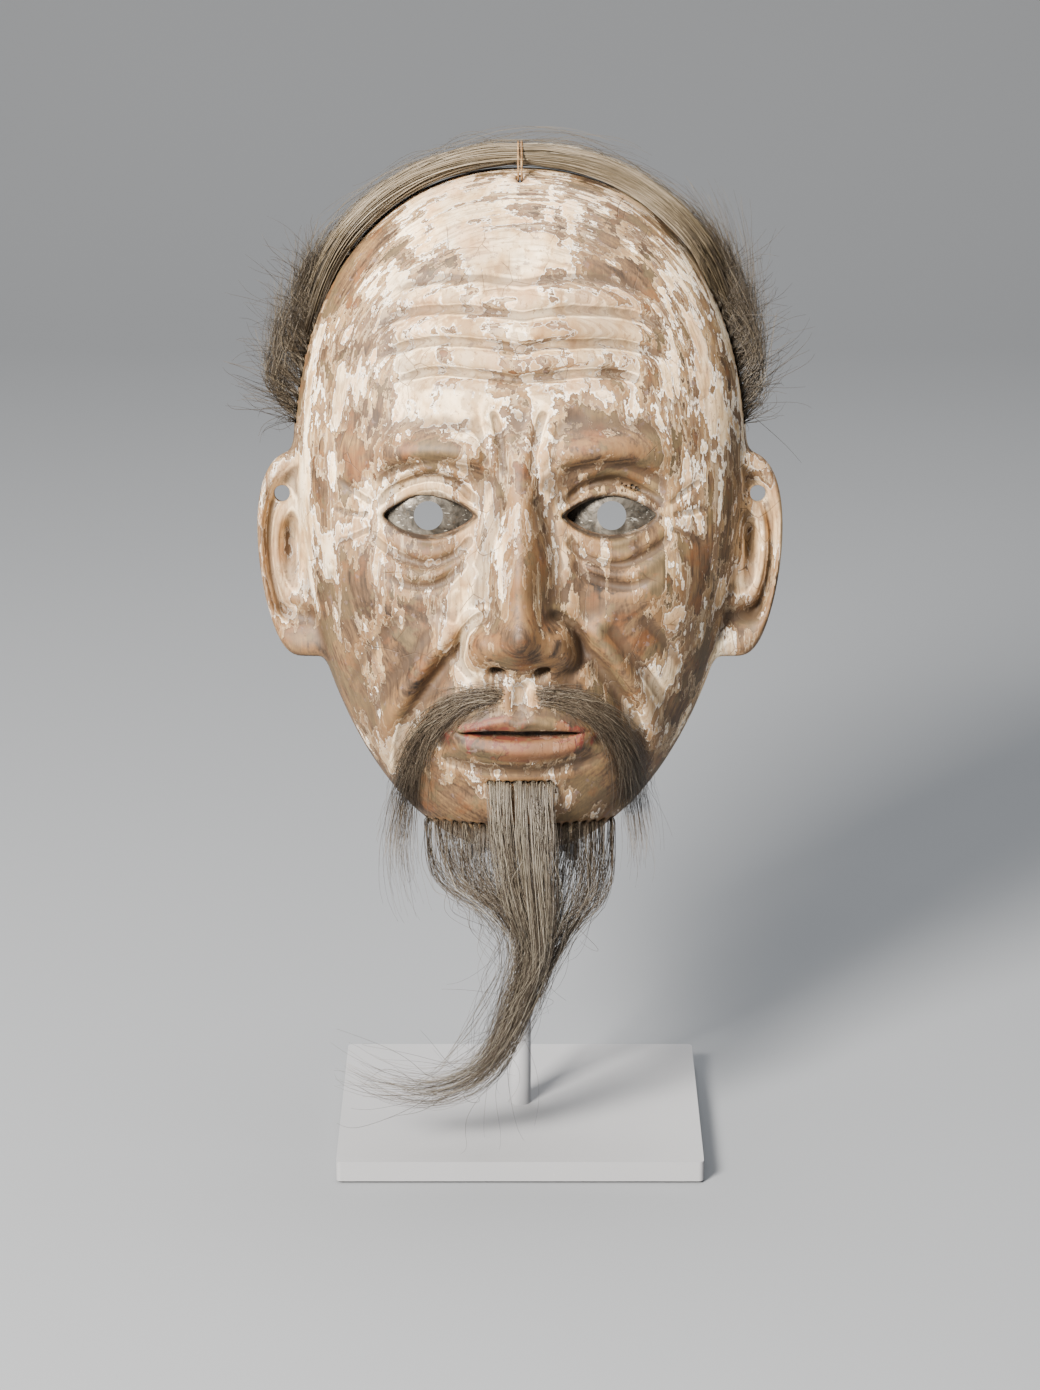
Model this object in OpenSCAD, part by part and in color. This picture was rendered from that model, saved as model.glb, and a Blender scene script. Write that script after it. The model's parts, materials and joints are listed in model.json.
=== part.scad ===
// Carved noh mask of an old man, with planted horsehair, resting on its display stand.
// +Z is up, the mask faces -Y, and the origin is under the middle of the base.
// A mask piece is drawn lying on its back: +X across, +Y towards the crown, +Z out of the face,
// from the plane of the mask's back edge. worn() then stands it up on the stand.

/* [Stand] */
// Width of the base plate
base_w = 112; // [100:1:130]
// Depth of the base plate
base_d = 92; // [84:1:110]
// Thickness of the base plate
base_t = 6.4; // [6:0.1:8]
// Thickness of the felt glued under the base plate
felt_t = 0.8; // [0.5:0.1:1.2]
// Diameter of the post
post_d = 6.8; // [6.4:0.1:7.6]
// Clear height from the base plate to the bottom of the mask
stand_gap = 86; // [78:1:100]
// How far the mask leans back from upright, in degrees
lean = 12; // [9:1:14]

/* [Mask] */
// Half of the mask's height, chin to crown
face_half_h = 104; // [102:1:106]
// Half of the face's width, without the ears
face_half_w = 68; // [66:1:70]
// Height of the face above its back edge, without the nose
face_depth = 48; // [46:1:50]
// Thickness of the carved wood
wall = 7; // [6.5:0.5:8]
// Reach of the nose beyond the face around it
nose_reach = 18; // [15:1:20]
// Half of the width across the ears
ear_half_span = 80; // [79:1:82]

/* [Openings] */
// Diameter of the pupil, which the actor looks through
pupil_d = 8.6; // [7:0.2:9]
// Distance between the pupils
pupil_span = 54; // [50:1:58]
// Width of the opening between the eyelids
eye_w = 27; // [25:1:29]
// Height of the opening between the eyelids
eye_h = 11; // [10:0.5:12]
// Width of the opening between the lips
mouth_w = 40; // [34:1:44]
// Height of the opening between the lips
mouth_h = 3.2; // [2.5:0.1:4]
// Diameter of the holes that the tie cords go through
cord_hole_d = 5; // [4:0.5:6]

/* [Hair] */
// Tufts along each temple
temple_tufts = 14; // [10:1:14]
// Tufts in the row under the lower lip
lip_tufts = 8; // [5:1:8]
// Tufts in the row across the chin
chin_tufts = 21; // [11:2:21]
// Diameter of the hole that a tuft is planted in
tuft_hole_d = 2; // [1.8:0.1:2.2]
// Diameter of a lock of hair over the crown
crown_lock_d = 6; // [4:0.5:7]

/* [Hidden] */
$fn = 48;

fit = 0.05;            // radial gap of a glued or pressed-in piece
clear = 0.4;           // gap between the mask and the stand
corner_r = 1.5;        // rounding of the base plate's corners
felt_inset = 2.5;      // from the edge of the base plate to the felt
socket_t = 2;          // depth that the post is let into the base plate
screw_head_d = 7.6;
screw_head_t = 2.2;
screw_d = 4;
screw_reach = 10;      // length of the screw in the post
brow_bar_d = 3.6;
brow_at = 56;          // height of the bar above the middle of the face
brow_pad_span = 52;
brow_pad_d = 8;
cradle_d = 3.2;
cradle_span = 32;
sleeve_d = 4.4;
cradle_reach = 14;     // length of the cradle's arms in front of the mask's back edge
cradle_lip = 3.6;      // rise of the cradle's tips

// Stack of heights, and the place of the mask's back edge
base_top = felt_t + base_t;
rim_gap = 1.5;
mask_y = face_half_h * sin(lean) - post_d / 2 - rim_gap;
mask_z = base_top + stand_gap + face_half_h * cos(lean);

// Face form
egg_taper = 0.13;      // how much wider the forehead is than the middle, and narrower the chin
outline_power = 2.15;  // 2 is an ellipse
dome_power = 2.6;
dome_edge = 0.45;
hollow_share = 0.55;   // share of a raised form that the hollow follows
eye_x = pupil_span / 2;
eye_y = 1;
mouth_y = -64;
mouth_tilt = 19;       // the mouth's opening rises into the hollow, so little light shows through
nostril_at = [6.5, -44, 49.5];
nostril_tilt = -110;   // the nostril rises into the nose and comes out in the hollow
nostril_d = 4.4;
lip_row_y = -79;
chin_row_y = -93;
rings = 18;
spokes = 60;
hollow_rings = 11;

// Each form is [across, up, half width, half height, relief], and is mirrored across the face.
face_forms = [
    [0, 58, 42, 34, 2.5],            // forehead
    [24, 19, 19, 6, 5],              // brow
    [eye_x, 5, 15, 11, -9],          // eye socket
    [eye_x, eye_y, 12, 8, 5],        // eyelids
    [0, 4, 6, 16, 0.35 * nose_reach],    // root of the nose
    [0, -18, 8, 14, 0.7 * nose_reach],   // bridge
    [0, -35, 9, 9, 0.8 * nose_reach],    // tip
    [11, -38, 5.5, 6, 0.35 * nose_reach],// wing of the nostril
    [43, -20, 15, 15, 4.5],          // cheekbone
    [46, -58, 14, 22, -3],           // cheek hollow
    [0, -64, 24, 16, 5],             // mouth
    [0, -80, 16, 4, -2.5],           // fold under the lip
    [0, -91, 18, 10, 6]              // chin
];

function sum(v, i = 0) = i < len(v) ? v[i] + sum(v, i + 1) : 0;
function egg_half_w(y) = face_half_w * (1 + egg_taper * y / face_half_h);
function power_norm(a, b) = pow(pow(abs(a), outline_power) + pow(abs(b), outline_power), 1 / outline_power);
// 0 in the middle of the face, 1 on its outline; inset moves the outline inwards
function share_out(x, y, inset = 0) =
    power_norm(x / (egg_half_w(y) - inset), y / (face_half_h - inset));
function dome(r, h) = h * pow(max(0, 1 - pow(r, dome_power)), dome_edge);
function form_height(f, x, y) = f[4] * exp(-pow((abs(x) - f[0]) / f[2], 2) - pow((y - f[1]) / f[3], 2));
function relief(x, y, raised) =
    sum([for (f = face_forms) form_height(f, x, y) * (f[4] > 0 ? raised : 1)]);
function edge_fade(r) = 1 - pow(min(1, r), 6);
function face_z(x, y) = let (r = share_out(x, y)) dome(r, face_depth) + edge_fade(r) * relief(x, y, 1);
function hollow_z(x, y) =
    let (r = share_out(x, y, wall))
    max(0, dome(r, face_depth - wall) + edge_fade(r) * relief(x, y, hollow_share));
// Point on the outline, or inset from it, in direction a
function outline_at(a, inset = 0) =
    let (n = power_norm(cos(a), sin(a)), y = (face_half_h - inset) * sin(a) / n)
    [(egg_half_w(y) - inset) * cos(a) / n, y];
function outward_at(a) = let (d = outline_at(a + 1) - outline_at(a - 1)) [d[1], -d[0]] / norm(d);
function ring_share(i, n) = sin(90 * i / n);
function ring(i, n, inset, hollow) = [
    for (j = [0:spokes - 1])
        let (p = outline_at(360 * j / spokes, inset) * ring_share(i, n))
        [p[0], p[1], i == n ? 0 : hollow ? hollow_z(p[0], p[1]) : face_z(p[0], p[1])]
];

// Closed solid from loops of equal length, each joined to the next. Each end is a flat face,
// or where tips gives two points, comes to a point.
module loft(loops, tips = []) {
    n = len(loops[0]);
    m = len(loops);
    function at(i, j) = i * n + (j % n);
    sides = [
        for (i = [0:m - 2], j = [0:n - 1])
            each [[at(i, j), at(i, j + 1), at(i + 1, j + 1)], [at(i, j), at(i + 1, j + 1), at(i + 1, j)]]
    ];
    ends = len(tips) == 0
        ? [[for (j = [n - 1:-1:0]) at(0, j)], [for (j = [0:n - 1]) at(m - 1, j)]]
        : [for (j = [0:n - 1]) each [[m * n, at(0, j + 1), at(0, j)], [at(m - 1, j), at(m - 1, j + 1), m * n + 1]]];
    polyhedron(concat([for (l = loops) each l], tips), concat(sides, ends), convexity = 8);
}

// Tube along a path; sizes are [across, along up] half widths at each point
module lock(path, sizes, up = [0, 0, 1], sides = 10) {
    m = len(path);
    function unit(v) = v / norm(v);
    function along(i) = unit(path[min(i + 1, m - 1)] - path[max(i - 1, 0)]);
    loops = [
        for (i = [0:m - 1])
            let (t = along(i), s = unit(cross(t, up)), n = cross(s, t))
            [for (k = [0:sides - 1]) let (a = 360 * k / sides)
                path[i] + sizes[i][0] * cos(a) * s + sizes[i][1] * sin(a) * n]
    ];
    loft(loops);
}

module worn() {
    translate([0, mask_y, mask_z]) rotate([90 - lean, 0, 0]) children();
}

// Distance from the mask's back edge to the post's axis, at height y on the face
function post_depth(y) = (mask_y + y * sin(lean)) / cos(lean);
function world_z(y, z) = mask_z + y * cos(lean) + z * sin(lean);

// ---- Stand ----

module rounded_plate(w, d, t, r) {
    translate([-w / 2 + r, -d / 2, 0]) cube([w - 2 * r, d, t]);
    translate([-w / 2, -d / 2 + r, 0]) cube([w, d - 2 * r, t]);
    for (x = [-1, 1], y = [-1, 1])
        translate([x * (w / 2 - r), y * (d / 2 - r), 0]) cylinder(h = t, r = r);
}

module base_felt() {
    color("dimgray")
        rounded_plate(base_w - 2 * felt_inset, base_d - 2 * felt_inset, felt_t, corner_r);
}

module base_plate() {
    color("gainsboro") difference() {
        translate([0, 0, felt_t]) rounded_plate(base_w, base_d, base_t, corner_r);
        translate([0, 0, base_top - socket_t]) cylinder(h = socket_t + 1, d = post_d + 2 * fit);
        translate([0, 0, felt_t - 1]) cylinder(h = base_t + 1, d = screw_d + 0.4);
        translate([0, 0, felt_t - 1]) cylinder(h = screw_head_t + 1.2, d = screw_head_d + 0.6);
    }
}

module post_screw() {
    head_z = felt_t + 0.2;
    color("silver") difference() {
        union() {
            translate([0, 0, head_z]) cylinder(h = screw_head_t, d = screw_head_d);
            translate([0, 0, head_z + screw_head_t - 0.1])
                cylinder(h = base_top - socket_t - head_z - screw_head_t + 0.1 + screw_reach, d = screw_d);
        }
        translate([0, 0, head_z - 1]) cylinder(h = 2.4, d = 2.9, $fn = 6);
    }
}

module post() {
    foot = base_top - socket_t;
    brow_z = world_z(brow_at, post_depth(brow_at));
    cradle_y = cradle_line();
    top = brow_z + 5;
    color("gainsboro") difference() {
        union() {
            translate([0, 0, foot]) cylinder(h = top - foot - 1, d = post_d);
            translate([0, 0, top - 1]) cylinder(h = 1, d1 = post_d, d2 = post_d - 2);
        }
        translate([0, 0, foot - 1]) cylinder(h = screw_reach + 2.5, d = screw_d + 2 * fit);
        worn() translate([0, brow_at, post_depth(brow_at)])
            rotate([0, 90, 0]) cylinder(h = post_d + 4, d = brow_bar_d + 2 * fit, center = true);
        worn() translate([0, cradle_y, post_depth(cradle_y)])
            rotate([0, 90, 0]) cylinder(h = post_d + 4, d = cradle_d + 2 * fit, center = true);
    }
}

// Height on the face of the cradle's arms, just under the mask's edge
function cradle_line() = -rim_y_at(cradle_span / 2) - clear - sleeve_d / 2;
function rim_y_at(x) = let (w = egg_half_w(-face_half_h * 0.97))
    face_half_h * pow(1 - pow(x / w, outline_power), 1 / outline_power);

// Rod through the post, with a felt ball on each end that the hollow of the forehead leans on
module brow_bar() {
    length = brow_pad_span + 3;
    color("gainsboro") worn() translate([0, brow_at, post_depth(brow_at)]) rotate([0, 90, 0]) {
        cylinder(h = length, d = brow_bar_d, center = true);
        for (s = [0, 180]) rotate([s, 0, 0]) translate([0, 0, length / 2])
            cylinder(h = 0.5, d1 = brow_bar_d, d2 = brow_bar_d - 1);
    }
}

module brow_pad(s) {
    color("dimgray") worn() mirror([s > 0 ? 1 : 0, 0, 0])
        translate([-brow_pad_span / 2, brow_at, post_depth(brow_at)]) difference() {
            sphere(d = brow_pad_d);
            rotate([0, 90, 0]) translate([0, 0, -2.2]) cylinder(h = brow_pad_d, d = brow_bar_d + 2 * fit);
            rotate([0, 90, 0]) translate([0, 0, brow_pad_d / 2 - 0.8]) cylinder(h = 2, d = brow_pad_d);
        }
}

module cradle_place(s) {
    worn() translate([s * cradle_span / 2, cradle_line(), post_depth(cradle_line())]) children();
}

module chin_cradle() {
    y = cradle_line();
    z = post_depth(y);
    color("gainsboro") {
        worn() translate([0, y, z]) rotate([0, 90, 0]) cylinder(h = cradle_span, d = cradle_d, center = true);
        for (s = [-1, 1]) cradle_place(s) {
            sphere(d = cradle_d);
            cylinder(h = cradle_reach - z, d = cradle_d);
            translate([0, 0, cradle_reach - z]) sphere(d = cradle_d);
            translate([0, 0, cradle_reach - z]) rotate([-90, 0, 0]) cylinder(h = cradle_lip, d = cradle_d);
        }
    }
}

module cradle_sleeves() {
    color("dimgray") for (s = [-1, 1]) cradle_place(s) translate([0, 0, cradle_d]) difference() {
        cylinder(h = cradle_reach - post_depth(cradle_line()) - 2 * cradle_d, d = sleeve_d);
        translate([0, 0, -1]) cylinder(h = cradle_reach + 10, d = cradle_d + 2 * fit);
    }
}

// ---- Mask ----

// Lens between two arcs, as a through cut
module lens(w, h, depth) {
    r = (w * w + h * h) / (4 * h);
    intersection() {
        translate([0, r - h / 2, 0]) cylinder(h = depth, r = r, $fn = 96);
        translate([0, h / 2 - r, 0]) cylinder(h = depth, r = r, $fn = 96);
    }
}

eye_top = face_z(eye_x, eye_y) - 3;    // height of the eye plate's middle
plate_r = 24;                          // curve of the eye plate
plate_d = 28;
plate_t = 0.8;

module eye_place(s) {
    worn() translate([s * eye_x, eye_y, 0]) children();
}

module eye_cuts(s) {
    translate([s * eye_x, eye_y, 0]) {
        translate([0, 0, eye_top - 4]) lens(eye_w, eye_h, 30);
        intersection() {
            translate([0, 0, eye_top - 26]) cylinder(h = 30, d = plate_d + 2 * fit);
            translate([0, 0, eye_top - plate_r]) sphere(r = plate_r + fit, $fn = 96);
        }
    }
}

ear_z0 = 3;
ear_t = 12;
ear_y0 = -44;
ear_y1 = 20;
cord_hole_at = [ear_half_span - 8, 6];
// Ear outline: a tall half oval, broad above and narrow at the lobe
ear_outline = concat(
    [[face_half_w - 3, ear_y1 - 4]],
    [for (a = [80:-10:-80]) let (y = (ear_y1 + ear_y0) / 2 + (ear_y1 - ear_y0) / 2 * sin(a))
        [face_half_w - 3 + (ear_half_span - face_half_w + 3) * pow(cos(a), 0.7) * (1 + 0.2 * sin(a)) / 1.05, y]],
    [[face_half_w - 12, ear_y0 + 4]]
);

// The ears grow out of the sides of the face
module ear(s) {
    color("tan") worn() mirror([s < 0 ? 1 : 0, 0, 0]) difference() {
        translate([0, 0, ear_z0]) linear_extrude(ear_t) polygon(ear_outline);
        face_block();
        translate([cord_hole_at[0], cord_hole_at[1], ear_z0 - 1]) cylinder(h = ear_t + 2, d = cord_hole_d);
    }
}

// Direction from the front of a tuft's hole into the wood
function lip_x(i) = (i - (lip_tufts - 1) / 2) * 2.5;
function chin_x(i) = (i - (chin_tufts - 1) / 2) * 2.75;
temple_z = 9;
temple_from = 15.5;    // direction on the outline of the lowest temple tuft
temple_to = 41.5;      // and of the highest
function temple_angle(i) = temple_from + (temple_to - temple_from) * i / (temple_tufts - 1);
hole_h = 30;
plug_h = 4;
peg_h = 3;
lip_tilt = 12;         // the holes rise into the wood by this angle
chin_tilt = 30;
temple_inset = 1;      // the side of the face stands this far inside its outline here

// Frames whose +Z is a tuft hole's axis, out of the wood, from the surface of the face
module lip_frame(i) {
    translate([lip_x(i), lip_row_y, face_z(lip_x(i), lip_row_y)]) rotate([lip_tilt, 0, 0]) children();
}
module chin_frame(i) {
    translate([chin_x(i), chin_row_y, face_z(chin_x(i), chin_row_y)]) rotate([chin_tilt, 0, 0]) children();
}
module temple_frame(i) {
    a = temple_angle(i);
    p = outline_at(a) - temple_inset * outward_at(a);
    translate([p[0], p[1], temple_z]) rotate([0, 90, atan2(outward_at(a)[1], outward_at(a)[0])]) children();
}

module tuft_hole() {
    translate([0, 0, -hole_h + 12]) cylinder(h = hole_h, d = tuft_hole_d, $fn = 16);
}

outer_rings = [for (i = [1:rings]) ring(i, rings, 0, false)];

// The face before it is hollowed out
module face_block() {
    loft(outer_rings, [[0, 0, face_z(0, 0)], [0, 0, 0]]);
}

module carved_face() {
    inner_rings = [for (i = [hollow_rings:-1:1]) ring(i, hollow_rings, wall, true)];
    loft(concat(outer_rings, inner_rings), [[0, 0, face_z(0, 0)], [0, 0, hollow_z(0, 0)]]);
}

tie_hole = [0, face_half_h - 4, 0];
tie_hole_d = 2.4;

module mask_shell() {
    color("tan") worn() difference() {
        carved_face();
        for (s = [-1, 1]) {
            eye_cuts(s);
            translate([s * nostril_at[0], nostril_at[1], nostril_at[2]]) rotate([nostril_tilt, 0, 0])
                cylinder(h = 24, d = nostril_d, center = true);
        }
        translate([0, mouth_y, face_z(0, mouth_y)]) rotate([mouth_tilt, 0, 0])
            translate([0, 0, -30]) lens(mouth_w, mouth_h, 50);
        translate(tie_hole - [0, 0, 1]) cylinder(h = 30, d = tie_hole_d);
        for (i = [0:lip_tufts - 1]) lip_frame(i) tuft_hole();
        for (i = [0:chin_tufts - 1]) chin_frame(i) tuft_hole();
        for (i = [0:temple_tufts - 1]) {
            temple_frame(i) translate([0, 0, -2]) tuft_hole();
            mirror([1, 0, 0]) temple_frame(i) translate([0, 0, -2]) tuft_hole();
        }
    }
}

module eye_plate(s) {
    color("slategray") eye_place(s) difference() {
        intersection() {
            translate([0, 0, eye_top - plate_r]) difference() {
                sphere(r = plate_r, $fn = 96);
                sphere(r = plate_r - plate_t, $fn = 96);
            }
            translate([0, 0, eye_top - 12]) cylinder(h = 14, d = plate_d);
        }
        translate([0, 0, eye_top - 12]) cylinder(h = 14, d = pupil_d);
    }
}

// Lock over the crown, from one temple to the other, outside the outline
crown_steps = 22;
module crown_lock(s) {
    depth = s < 0 ? 11.6 : 5;
    from = 58;
    to = 135;
    path = [for (i = [0:crown_steps])
        let (a = from + (to - from) * i / crown_steps,
             b = s > 0 ? a : 180 - a,
             p = outline_at(b) + (crown_lock_d / 2 + 0.6) * outward_at(b))
        [p[0], p[1], depth]];
    sizes = [for (i = [0:crown_steps]) let (t = i / crown_steps)
        crown_lock_d / 2 * (t < 0.1 ? [0.7, 0.7] : t > 0.9 ? [0.75, 0.75] : [1, 1])];
    color("darkkhaki") worn() lock(path, sizes, [0, 0, 1]);
}

// Loop of fine cord through the hole in the crown and round both locks
module crown_tie() {
    top = face_half_h + crown_lock_d + 2;
    loop = [[100, -1.2], [100, 8], [100, 18], [103.5, 19], [108, 17.4], [top, 14.5], [top + 0.8, 8.5],
        [top, 2], [108, -0.6], [103, -2.4]];
    sides = 8;
    n = len(loop);
    r = 0.35;
    color("peru") worn() for (x = [-0.5, 0.5]) {
        rings = [for (i = [0:n - 1])
            let (a = loop[(i + n - 1) % n], b = loop[(i + 1) % n], d = (b - a) / norm(b - a))
            [for (k = [0:sides - 1]) let (q = 360 * k / sides)
                [x + r * cos(q), loop[i][0] - r * sin(q) * d[1], loop[i][1] + r * sin(q) * d[0]]]];
        polyhedron(
            [for (l = rings) each l],
            [for (i = [0:n - 1], k = [0:sides - 1], h = [0, 1])
                let (p = i * sides + k, q = i * sides + (k + 1) % sides,
                     u = ((i + 1) % n) * sides + k, v = ((i + 1) % n) * sides + (k + 1) % sides)
                h == 0 ? [p, q, v] : [p, v, u]],
            convexity = 4
        );
    }
}

// A temple tuft comes straight out of its hole, then turns up towards the crown
module temple_row(s) {
    color("gray") worn() mirror([s < 0 ? 1 : 0, 0, 0]) for (i = [0:temple_tufts - 1]) temple_frame(i) {
        translate([0, 0, -plug_h]) cylinder(h = plug_h + 1.5, d = tuft_hole_d - 2 * fit, $fn = 16);
        translate([0, 0, 1.5]) sphere(d = 2.5, $fn = 24);
        translate([0, 0, 1.5]) rotate([-35, 0, 0]) cylinder(h = 7, d1 = 2.5, d2 = 2.2, $fn = 16);
    }
}

module peg() {
    translate([0, 0, -plug_h - peg_h]) cylinder(h = peg_h - fit, d = tuft_hole_d - 2 * fit, $fn = 16);
}

module temple_pegs(s) {
    color("burlywood") worn() mirror([s < 0 ? 1 : 0, 0, 0]) for (i = [0:temple_tufts - 1])
        temple_frame(i) peg();
}

module moustache(s) {
    lift = 2.8;
    on_face = [[4, -52.5], [12, -53], [20, -56], [27, -62], [31.5, -70], [34, -80], [35.5, -90]];
    hanging = [[36, -101, 26], [34.5, -111, 24], [31, -120, 22]];
    path = concat([for (p = on_face) [s * p[0], p[1], face_z(p[0], p[1]) + lift]],
        [for (p = hanging) [s * p[0], p[1], p[2]]]);
    n = len(path);
    color("dimgray") worn() lock(path,
        [for (i = [0:n - 1]) i == 0 ? [1, 0.8] : i > n - 2 ? [0.8, 0.7] : i > n - 4 ? [2.2, 1.3] : [3, 1.6]]);
}

module lip_row() {
    color("darkgray") worn() for (i = [0:lip_tufts - 1]) {
        lip_frame(i) translate([0, 0, -plug_h]) cylinder(h = plug_h + 2.2, d = tuft_hole_d - 2 * fit, $fn = 16);
        lip_frame(i) translate([0, 0, 2.2]) sphere(d = 2.3, $fn = 24);
        lip_frame(i) translate([0, 0, 2.2]) rotate([90 - lip_tilt, 0, 0]) cylinder(h = 18, d = 2.2, $fn = 16);
    }
}

module lip_pegs() {
    color("burlywood") worn() for (i = [0:lip_tufts - 1]) lip_frame(i) peg();
}

module chin_row() {
    color("gray") worn() for (i = [0:chin_tufts - 1]) {
        chin_frame(i) translate([0, 0, -plug_h]) cylinder(h = plug_h + 1.4, d = tuft_hole_d - 2 * fit, $fn = 16);
        chin_frame(i) translate([0, 0, 1.4]) sphere(d = 2.3, $fn = 24);
        chin_frame(i) translate([0, 0, 1.4]) rotate([90 - chin_tilt, 0, 0]) cylinder(h = 8.5, d = 2.2, $fn = 16);
    }
}

module chin_pegs() {
    color("burlywood") worn() for (i = [0:chin_tufts - 1]) chin_frame(i) peg();
}

// The beard hangs from the chin in front of the post and trails to the left above the base.
// Each section is [x, y, z, half width, half depth, how far its two sides curve back round the chin].
module beard_tail() {
    sections = [[0, -38, 102.5, 28.5, 4.5, 13], [2, -40.5, 96, 25, 5, 10], [4.6, -42, 88, 17.5, 6, 6],
        [5.4, -42.5, 79, 12.5, 6.5, 2], [3.6, -42, 69, 10, 6.3, 0], [0, -41, 57, 8.2, 5.8, 0],
        [-4.4, -40, 45.5, 7, 5.6, 0], [-9.5, -39, 37, 6.2, 5.2, 0], [-17, -38.5, 31, 5.6, 4.6, 0],
        [-28, -38, 28, 4.2, 3.6, 0], [-41, -38, 30.5, 2.6, 2.2, 0], [-52, -38, 35.5, 0.9, 0.8, 0]];
    sides = 16;
    n = len(sections);
    function centre(i) = [for (k = [0:2]) sections[i][k]];
    loops = [
        for (i = [0:n - 1])
            let (c = sections[i], d = centre(min(i + 1, n - 1)) - centre(max(i - 1, 0)),
                 s = cross([0, -1, 0], d / norm(d)), across = i < 5 ? [1, 0, 0] : s / norm(s))
            [for (k = [0:sides - 1]) let (a = 360 * k / sides)
                centre(i) + c[3] * cos(a) * across + [0, c[4] * sin(a) + c[5] * pow(cos(a), 2), 0]]
    ];
    color("gray") loft(loops);
}

base_felt();
base_plate();
post_screw();
post();
brow_bar();
brow_pad(-1);  // brow_pad_left
brow_pad(1);  // brow_pad_right
chin_cradle();
cradle_sleeves();
mask_shell();
ear(-1);  // ear_left
ear(1);  // ear_right
eye_plate(-1);  // eye_plate_left
eye_plate(1);  // eye_plate_right
crown_lock(-1);  // crown_lock_left
crown_lock(1);  // crown_lock_right
crown_tie();
temple_row(-1);  // temple_tufts_left
temple_row(1);  // temple_tufts_right
temple_pegs(-1);  // temple_pegs_left
temple_pegs(1);  // temple_pegs_right
moustache(-1);  // moustache_left
moustache(1);  // moustache_right
lip_row();  // lip_tufts
lip_pegs();
chin_row();  // chin_tufts
chin_pegs();
beard_tail();
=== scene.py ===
"""Looks of the carved noh mask on its display stand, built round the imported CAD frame.

Lengths are millimetres. A mask piece is shaped in the mask's own frame, (u, v, w): u across, v up the
face and w out of it, from the plane of the mask's back edge. Everything becomes metres at the end.
"""
import json
import math

import bpy
import numpy as np
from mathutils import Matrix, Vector


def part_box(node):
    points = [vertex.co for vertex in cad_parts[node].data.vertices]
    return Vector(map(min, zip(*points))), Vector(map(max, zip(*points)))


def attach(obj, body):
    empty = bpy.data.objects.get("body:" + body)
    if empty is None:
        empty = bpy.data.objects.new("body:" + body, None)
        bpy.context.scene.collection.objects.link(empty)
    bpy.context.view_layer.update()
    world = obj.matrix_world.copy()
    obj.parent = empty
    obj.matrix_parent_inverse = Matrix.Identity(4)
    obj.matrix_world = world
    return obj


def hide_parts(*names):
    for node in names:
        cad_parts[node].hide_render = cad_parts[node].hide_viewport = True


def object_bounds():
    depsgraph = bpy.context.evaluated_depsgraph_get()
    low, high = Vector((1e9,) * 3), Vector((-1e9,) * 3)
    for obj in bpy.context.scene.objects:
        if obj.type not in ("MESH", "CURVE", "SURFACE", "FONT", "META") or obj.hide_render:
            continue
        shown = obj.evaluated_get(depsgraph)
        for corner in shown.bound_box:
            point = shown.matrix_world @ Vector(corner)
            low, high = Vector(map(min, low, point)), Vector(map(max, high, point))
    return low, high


MM = 0.001
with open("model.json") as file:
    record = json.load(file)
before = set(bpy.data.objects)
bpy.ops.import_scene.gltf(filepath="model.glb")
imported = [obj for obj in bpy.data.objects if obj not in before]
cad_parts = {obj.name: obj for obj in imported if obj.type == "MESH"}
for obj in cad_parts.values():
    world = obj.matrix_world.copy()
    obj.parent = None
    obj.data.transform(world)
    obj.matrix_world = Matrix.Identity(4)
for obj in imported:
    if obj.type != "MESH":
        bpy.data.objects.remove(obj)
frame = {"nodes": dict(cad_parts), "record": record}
cad_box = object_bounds()
nodes = frame["nodes"]
mounts = {m["name"]: m for m in frame["record"]["mounts"]}

# ---- The mask's frame, from the two holes that its tie cords go through ----

CORD_HOLE = (72.0, 6.0, 9.0)  # place of the right one in the mask's frame
hole_axis = np.array(mounts["cord_hole_right"]["axis"])
OUT = -hole_axis / np.linalg.norm(hole_axis)
ACROSS = np.array([1.0, 0.0, 0.0])
UP = np.cross(OUT, ACROSS)
hole_pos = np.array(mounts["cord_hole_right"]["pos_m"]) / MM
ORIGIN = hole_pos - CORD_HOLE[0] * ACROSS - CORD_HOLE[1] * UP - CORD_HOLE[2] * OUT


def to_world(p):
    """Points in the mask's frame, to millimetres in the shared frame."""
    p = np.asarray(p, float)
    return ORIGIN + p[..., :1] * ACROSS + p[..., 1:2] * UP + p[..., 2:3] * OUT


# ---- Camera, floor and lights ----


def aim(obj, place, target):
    obj.location = Vector(place)
    obj.rotation_euler = (Vector(target) - Vector(place)).to_track_quat("-Z", "Y").to_euler()


CAMERA_TARGET = (0.0, 0.0, 0.1416)
CAMERA_RISE = math.radians(17.8)
CAMERA_DISTANCE = 1.198
camera_data = bpy.data.cameras.new("camera")
camera_data.lens = 101.8
camera_data.sensor_width = 36
camera = bpy.data.objects.new("camera", camera_data)
bpy.context.scene.collection.objects.link(camera)
away = Vector((0, -math.cos(CAMERA_RISE), math.sin(CAMERA_RISE)))
camera_place = Vector(CAMERA_TARGET) + CAMERA_DISTANCE * away
aim(camera, camera_place, CAMERA_TARGET)
bpy.context.scene.camera = camera


def area_light(name, place, target, size, power, tint=(1, 1, 1)):
    light = bpy.data.lights.new(name, "AREA")
    light.shape = "RECTANGLE"
    light.size, light.size_y = size
    light.energy = power
    light.color = tint
    obj = bpy.data.objects.new(name, light)
    bpy.context.scene.collection.objects.link(obj)
    aim(obj, place, target)


area_light("key", (-0.68, -1.08, 0.95), (0, 0, 0.19), (0.42, 0.42), 128.0, (1, 0.945, 0.87))
area_light("fill", (1.4, -1.2, 0.7), (0, 0, 0.15), (1.0, 1.0), 5.0, (0.97, 0.985, 1))
area_light("top", (0.05, 0.25, 1.5), (0, 0.0, 0.1), (1.0, 0.8), 27.0)

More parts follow.
